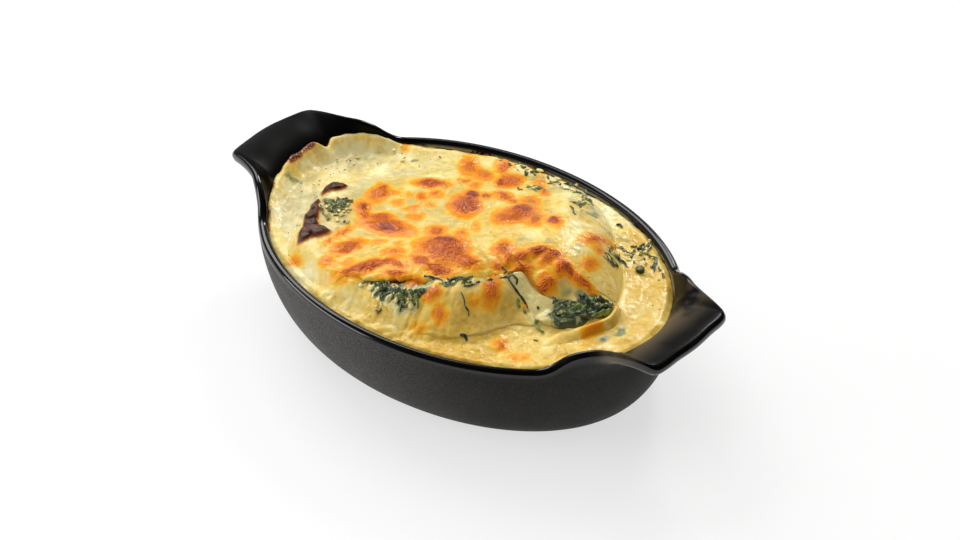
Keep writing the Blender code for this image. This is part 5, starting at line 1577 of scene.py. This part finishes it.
# The cut stalk
# A slice of green vegetable stalk, 4 mm across and darker toward its skin. It lies loose
# in the cream at the right, its cut face up.
STALK_X, STALK_Y, STALK_RADIUS, STALK_TALL = 0.0690, 0.0369, 0.0020, 0.0030
STALK_MIDDLE = SAUCE_Z + 0.0007
turn = np.linspace(0.0, 2.0 * math.pi, 41)[:-1]
stalk_rings = []
for reach, rise in ((0.90, -0.40), (1.0, -0.20), (1.0, 0.20), (1.02, 0.38), (0.96, 0.47), (0.84, 0.50),
                    (0.66, 0.47), (0.40, 0.44), (0.15, 0.45)):
    r = STALK_RADIUS * reach * (1.0 + 0.05 * np.sin(3 * turn + 0.6) + 0.03 * np.sin(7 * turn))
    z = STALK_MIDDLE + STALK_TALL * rise + 0.00012 * np.sin(5 * turn + 9.0 * rise)
    stalk_rings.append(np.stack([STALK_X + r * np.cos(turn), STALK_Y + r * np.sin(turn), z], 1))
low = (STALK_X, STALK_Y, STALK_MIDDLE - 0.42 * STALK_TALL)
high = (STALK_X, STALK_Y, STALK_MIDDLE + 0.45 * STALK_TALL)
stalk_verts = np.concatenate([[low], *stalk_rings, [high]])
from_middle = np.hypot(stalk_verts[:, 0] - STALK_X, stalk_verts[:, 1] - STALK_Y) / STALK_RADIUS
pith, tree, shader = principled("stalk_flesh", (0.10, 0.12, 0.03), 0.32, {
    "Coat Weight": 0.4, "Coat Roughness": 0.12})
where = body_place(tree)
threads = speckle(tree, where, 1600.0, 2.0)
flesh = ramp(tree, plus(tree, named(tree, "out"), times(tree, threads, 0.15)),
             [(0.0, (0.28, 0.27, 0.10)), (0.55, (0.20, 0.20, 0.06)), (0.80, (0.07, 0.09, 0.02)),
              (1.0, (0.030, 0.045, 0.012))])
tree.links.new(flesh, shader.inputs["Base Color"])
relief(tree, shader, threads, 0.00010, 0.6)
add_piece("cut_stalk", stalk_verts, loft_faces(40, len(stalk_rings)), pith, replaces=("green_stalk",),
          slot="stalk", out=from_middle)

# Herb flecks
# Dried herbs that were stirred into the sauce: dark flecks that came up to its skin,
# thickest on the cream at the back and along the left side.
FLECK_SIZE, FLECKS_PER_AREA, FLECK_SEED = 0.00030, 34000.0, 7
FIELD_A, FIELD_B, COLUMNS, ROWS = 0.099, 0.071, 100, 72
field_x, field_y = np.meshgrid(np.linspace(-FIELD_A, FIELD_A, COLUMNS),
                               np.linspace(-FIELD_B, FIELD_B, ROWS), indexing="ij")
u, v = to_stack(field_x, field_y)
share = wall_share(u, v)
on_cream = (cheese_inside(u, v) < 0.0) * (filling_inside(u, v) < 0.0)
thick_there = 0.30 + 0.70 * step((v - 0.030) / 0.030) + 0.5 * step((-u - 0.060) / 0.02)
density = np.where(share < 0.955, 1.0, 0.0) * (0.22 + 0.78 * on_cream) * thick_there \
    * step(0.35 + 0.9 * grain(u, v, 0.014, 95))
lying = np.where(on_cream, cream_height(u, v, share, 0.0, SAUCE_Z), surface(u, v))
field = bpy.data.meshes.new("herb_field")
grid = np.arange(COLUMNS * ROWS).reshape(COLUMNS, ROWS)
cells = np.stack([grid[:-1, :-1], grid[1:, :-1], grid[1:, 1:], grid[:-1, 1:]], -1).reshape(-1, 4)
field.from_pydata(np.stack([field_x, field_y, lying], -1).reshape(-1, 3).tolist(), [], cells.tolist())
field.attributes.new("thickness_of_herbs", "FLOAT", "POINT").data.foreach_set(
    "value", density.ravel().astype(np.float32))
flecks = bpy.data.objects.new("herb_flecks", field)
bpy.context.scene.collection.objects.link(flecks)

herb, tree, shader = principled("dried_herb", (0.03, 0.04, 0.015), 0.6)
where = body_place(tree)
shade = speckle(tree, where, 900.0, 1.0)
tree.links.new(ramp(tree, shade, [(0.30, (0.012, 0.014, 0.006)), (0.50, (0.040, 0.055, 0.018)),
                                  (0.70, (0.10, 0.12, 0.035))]), shader.inputs["Base Color"])

strewn = bpy.data.node_groups.new("Strewn flecks", "GeometryNodeTree")
strewn.interface.new_socket("Geometry", in_out="INPUT", socket_type="NodeSocketGeometry")
for socket in ("Flecks per area", "Fleck size"):
    strewn.interface.new_socket(socket, in_out="INPUT", socket_type="NodeSocketFloat")
strewn.interface.new_socket("Seed", in_out="INPUT", socket_type="NodeSocketInt")
strewn.interface.new_socket("Geometry", in_out="OUTPUT", socket_type="NodeSocketGeometry")
given = strewn.nodes.new("NodeGroupInput").outputs
result = strewn.nodes.new("NodeGroupOutput").inputs
how_thick = put(strewn, "GeometryNodeInputNamedAttribute", {"Name": "thickness_of_herbs"},
                data_type="FLOAT").outputs["Attribute"]
scatter = put(strewn, "GeometryNodeDistributePointsOnFaces", {
    "Mesh": given["Geometry"], "Density": times(strewn, how_thick, given["Flecks per area"]),
    "Seed": given["Seed"]})
flake = put(strewn, "GeometryNodeMeshIcoSphere", {"Subdivisions": 2, "Radius": given["Fleck size"]})
turned, sized = (put(strewn, "FunctionNodeRandomValue", {"Min": low, "Max": high}, data_type="FLOAT_VECTOR")
                 for low, high in (((-0.35, -0.35, 0.0), (0.35, 0.35, 6.2832)),
                                   ((0.6, 0.45, 0.35), (2.4, 1.2, 0.6))))
each = put(strewn, "GeometryNodeInstanceOnPoints", {
    "Points": scatter.outputs["Points"], "Instance": flake.outputs["Mesh"],
    "Rotation": turned.outputs["Value"], "Scale": sized.outputs["Value"]})
real = put(strewn, "GeometryNodeRealizeInstances", {"Geometry": each.outputs["Instances"]})
coat = put(strewn, "GeometryNodeSetMaterial", {"Geometry": real.outputs["Geometry"], "Material": herb})
strewn.links.new(coat.outputs["Geometry"], result[0])

strewing = flecks.modifiers.new("strewing", "NODES")
strewing.node_group = strewn
chosen = {"Flecks per area": FLECKS_PER_AREA, "Fleck size": FLECK_SIZE, "Seed": FLECK_SEED}
for item in strewn.interface.items_tree:
    if item.in_out == "INPUT" and item.name in chosen:
        strewing[item.identifier] = chosen[item.name]
strewn_flecks = flecks.evaluated_get(bpy.context.evaluated_depsgraph_get())
flat_mesh = bpy.data.meshes.new_from_object(strewn_flecks)
flecks.modifiers.remove(strewing)
flecks.data = flat_mesh
flat_mesh.shade_smooth()
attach(flecks, "root")
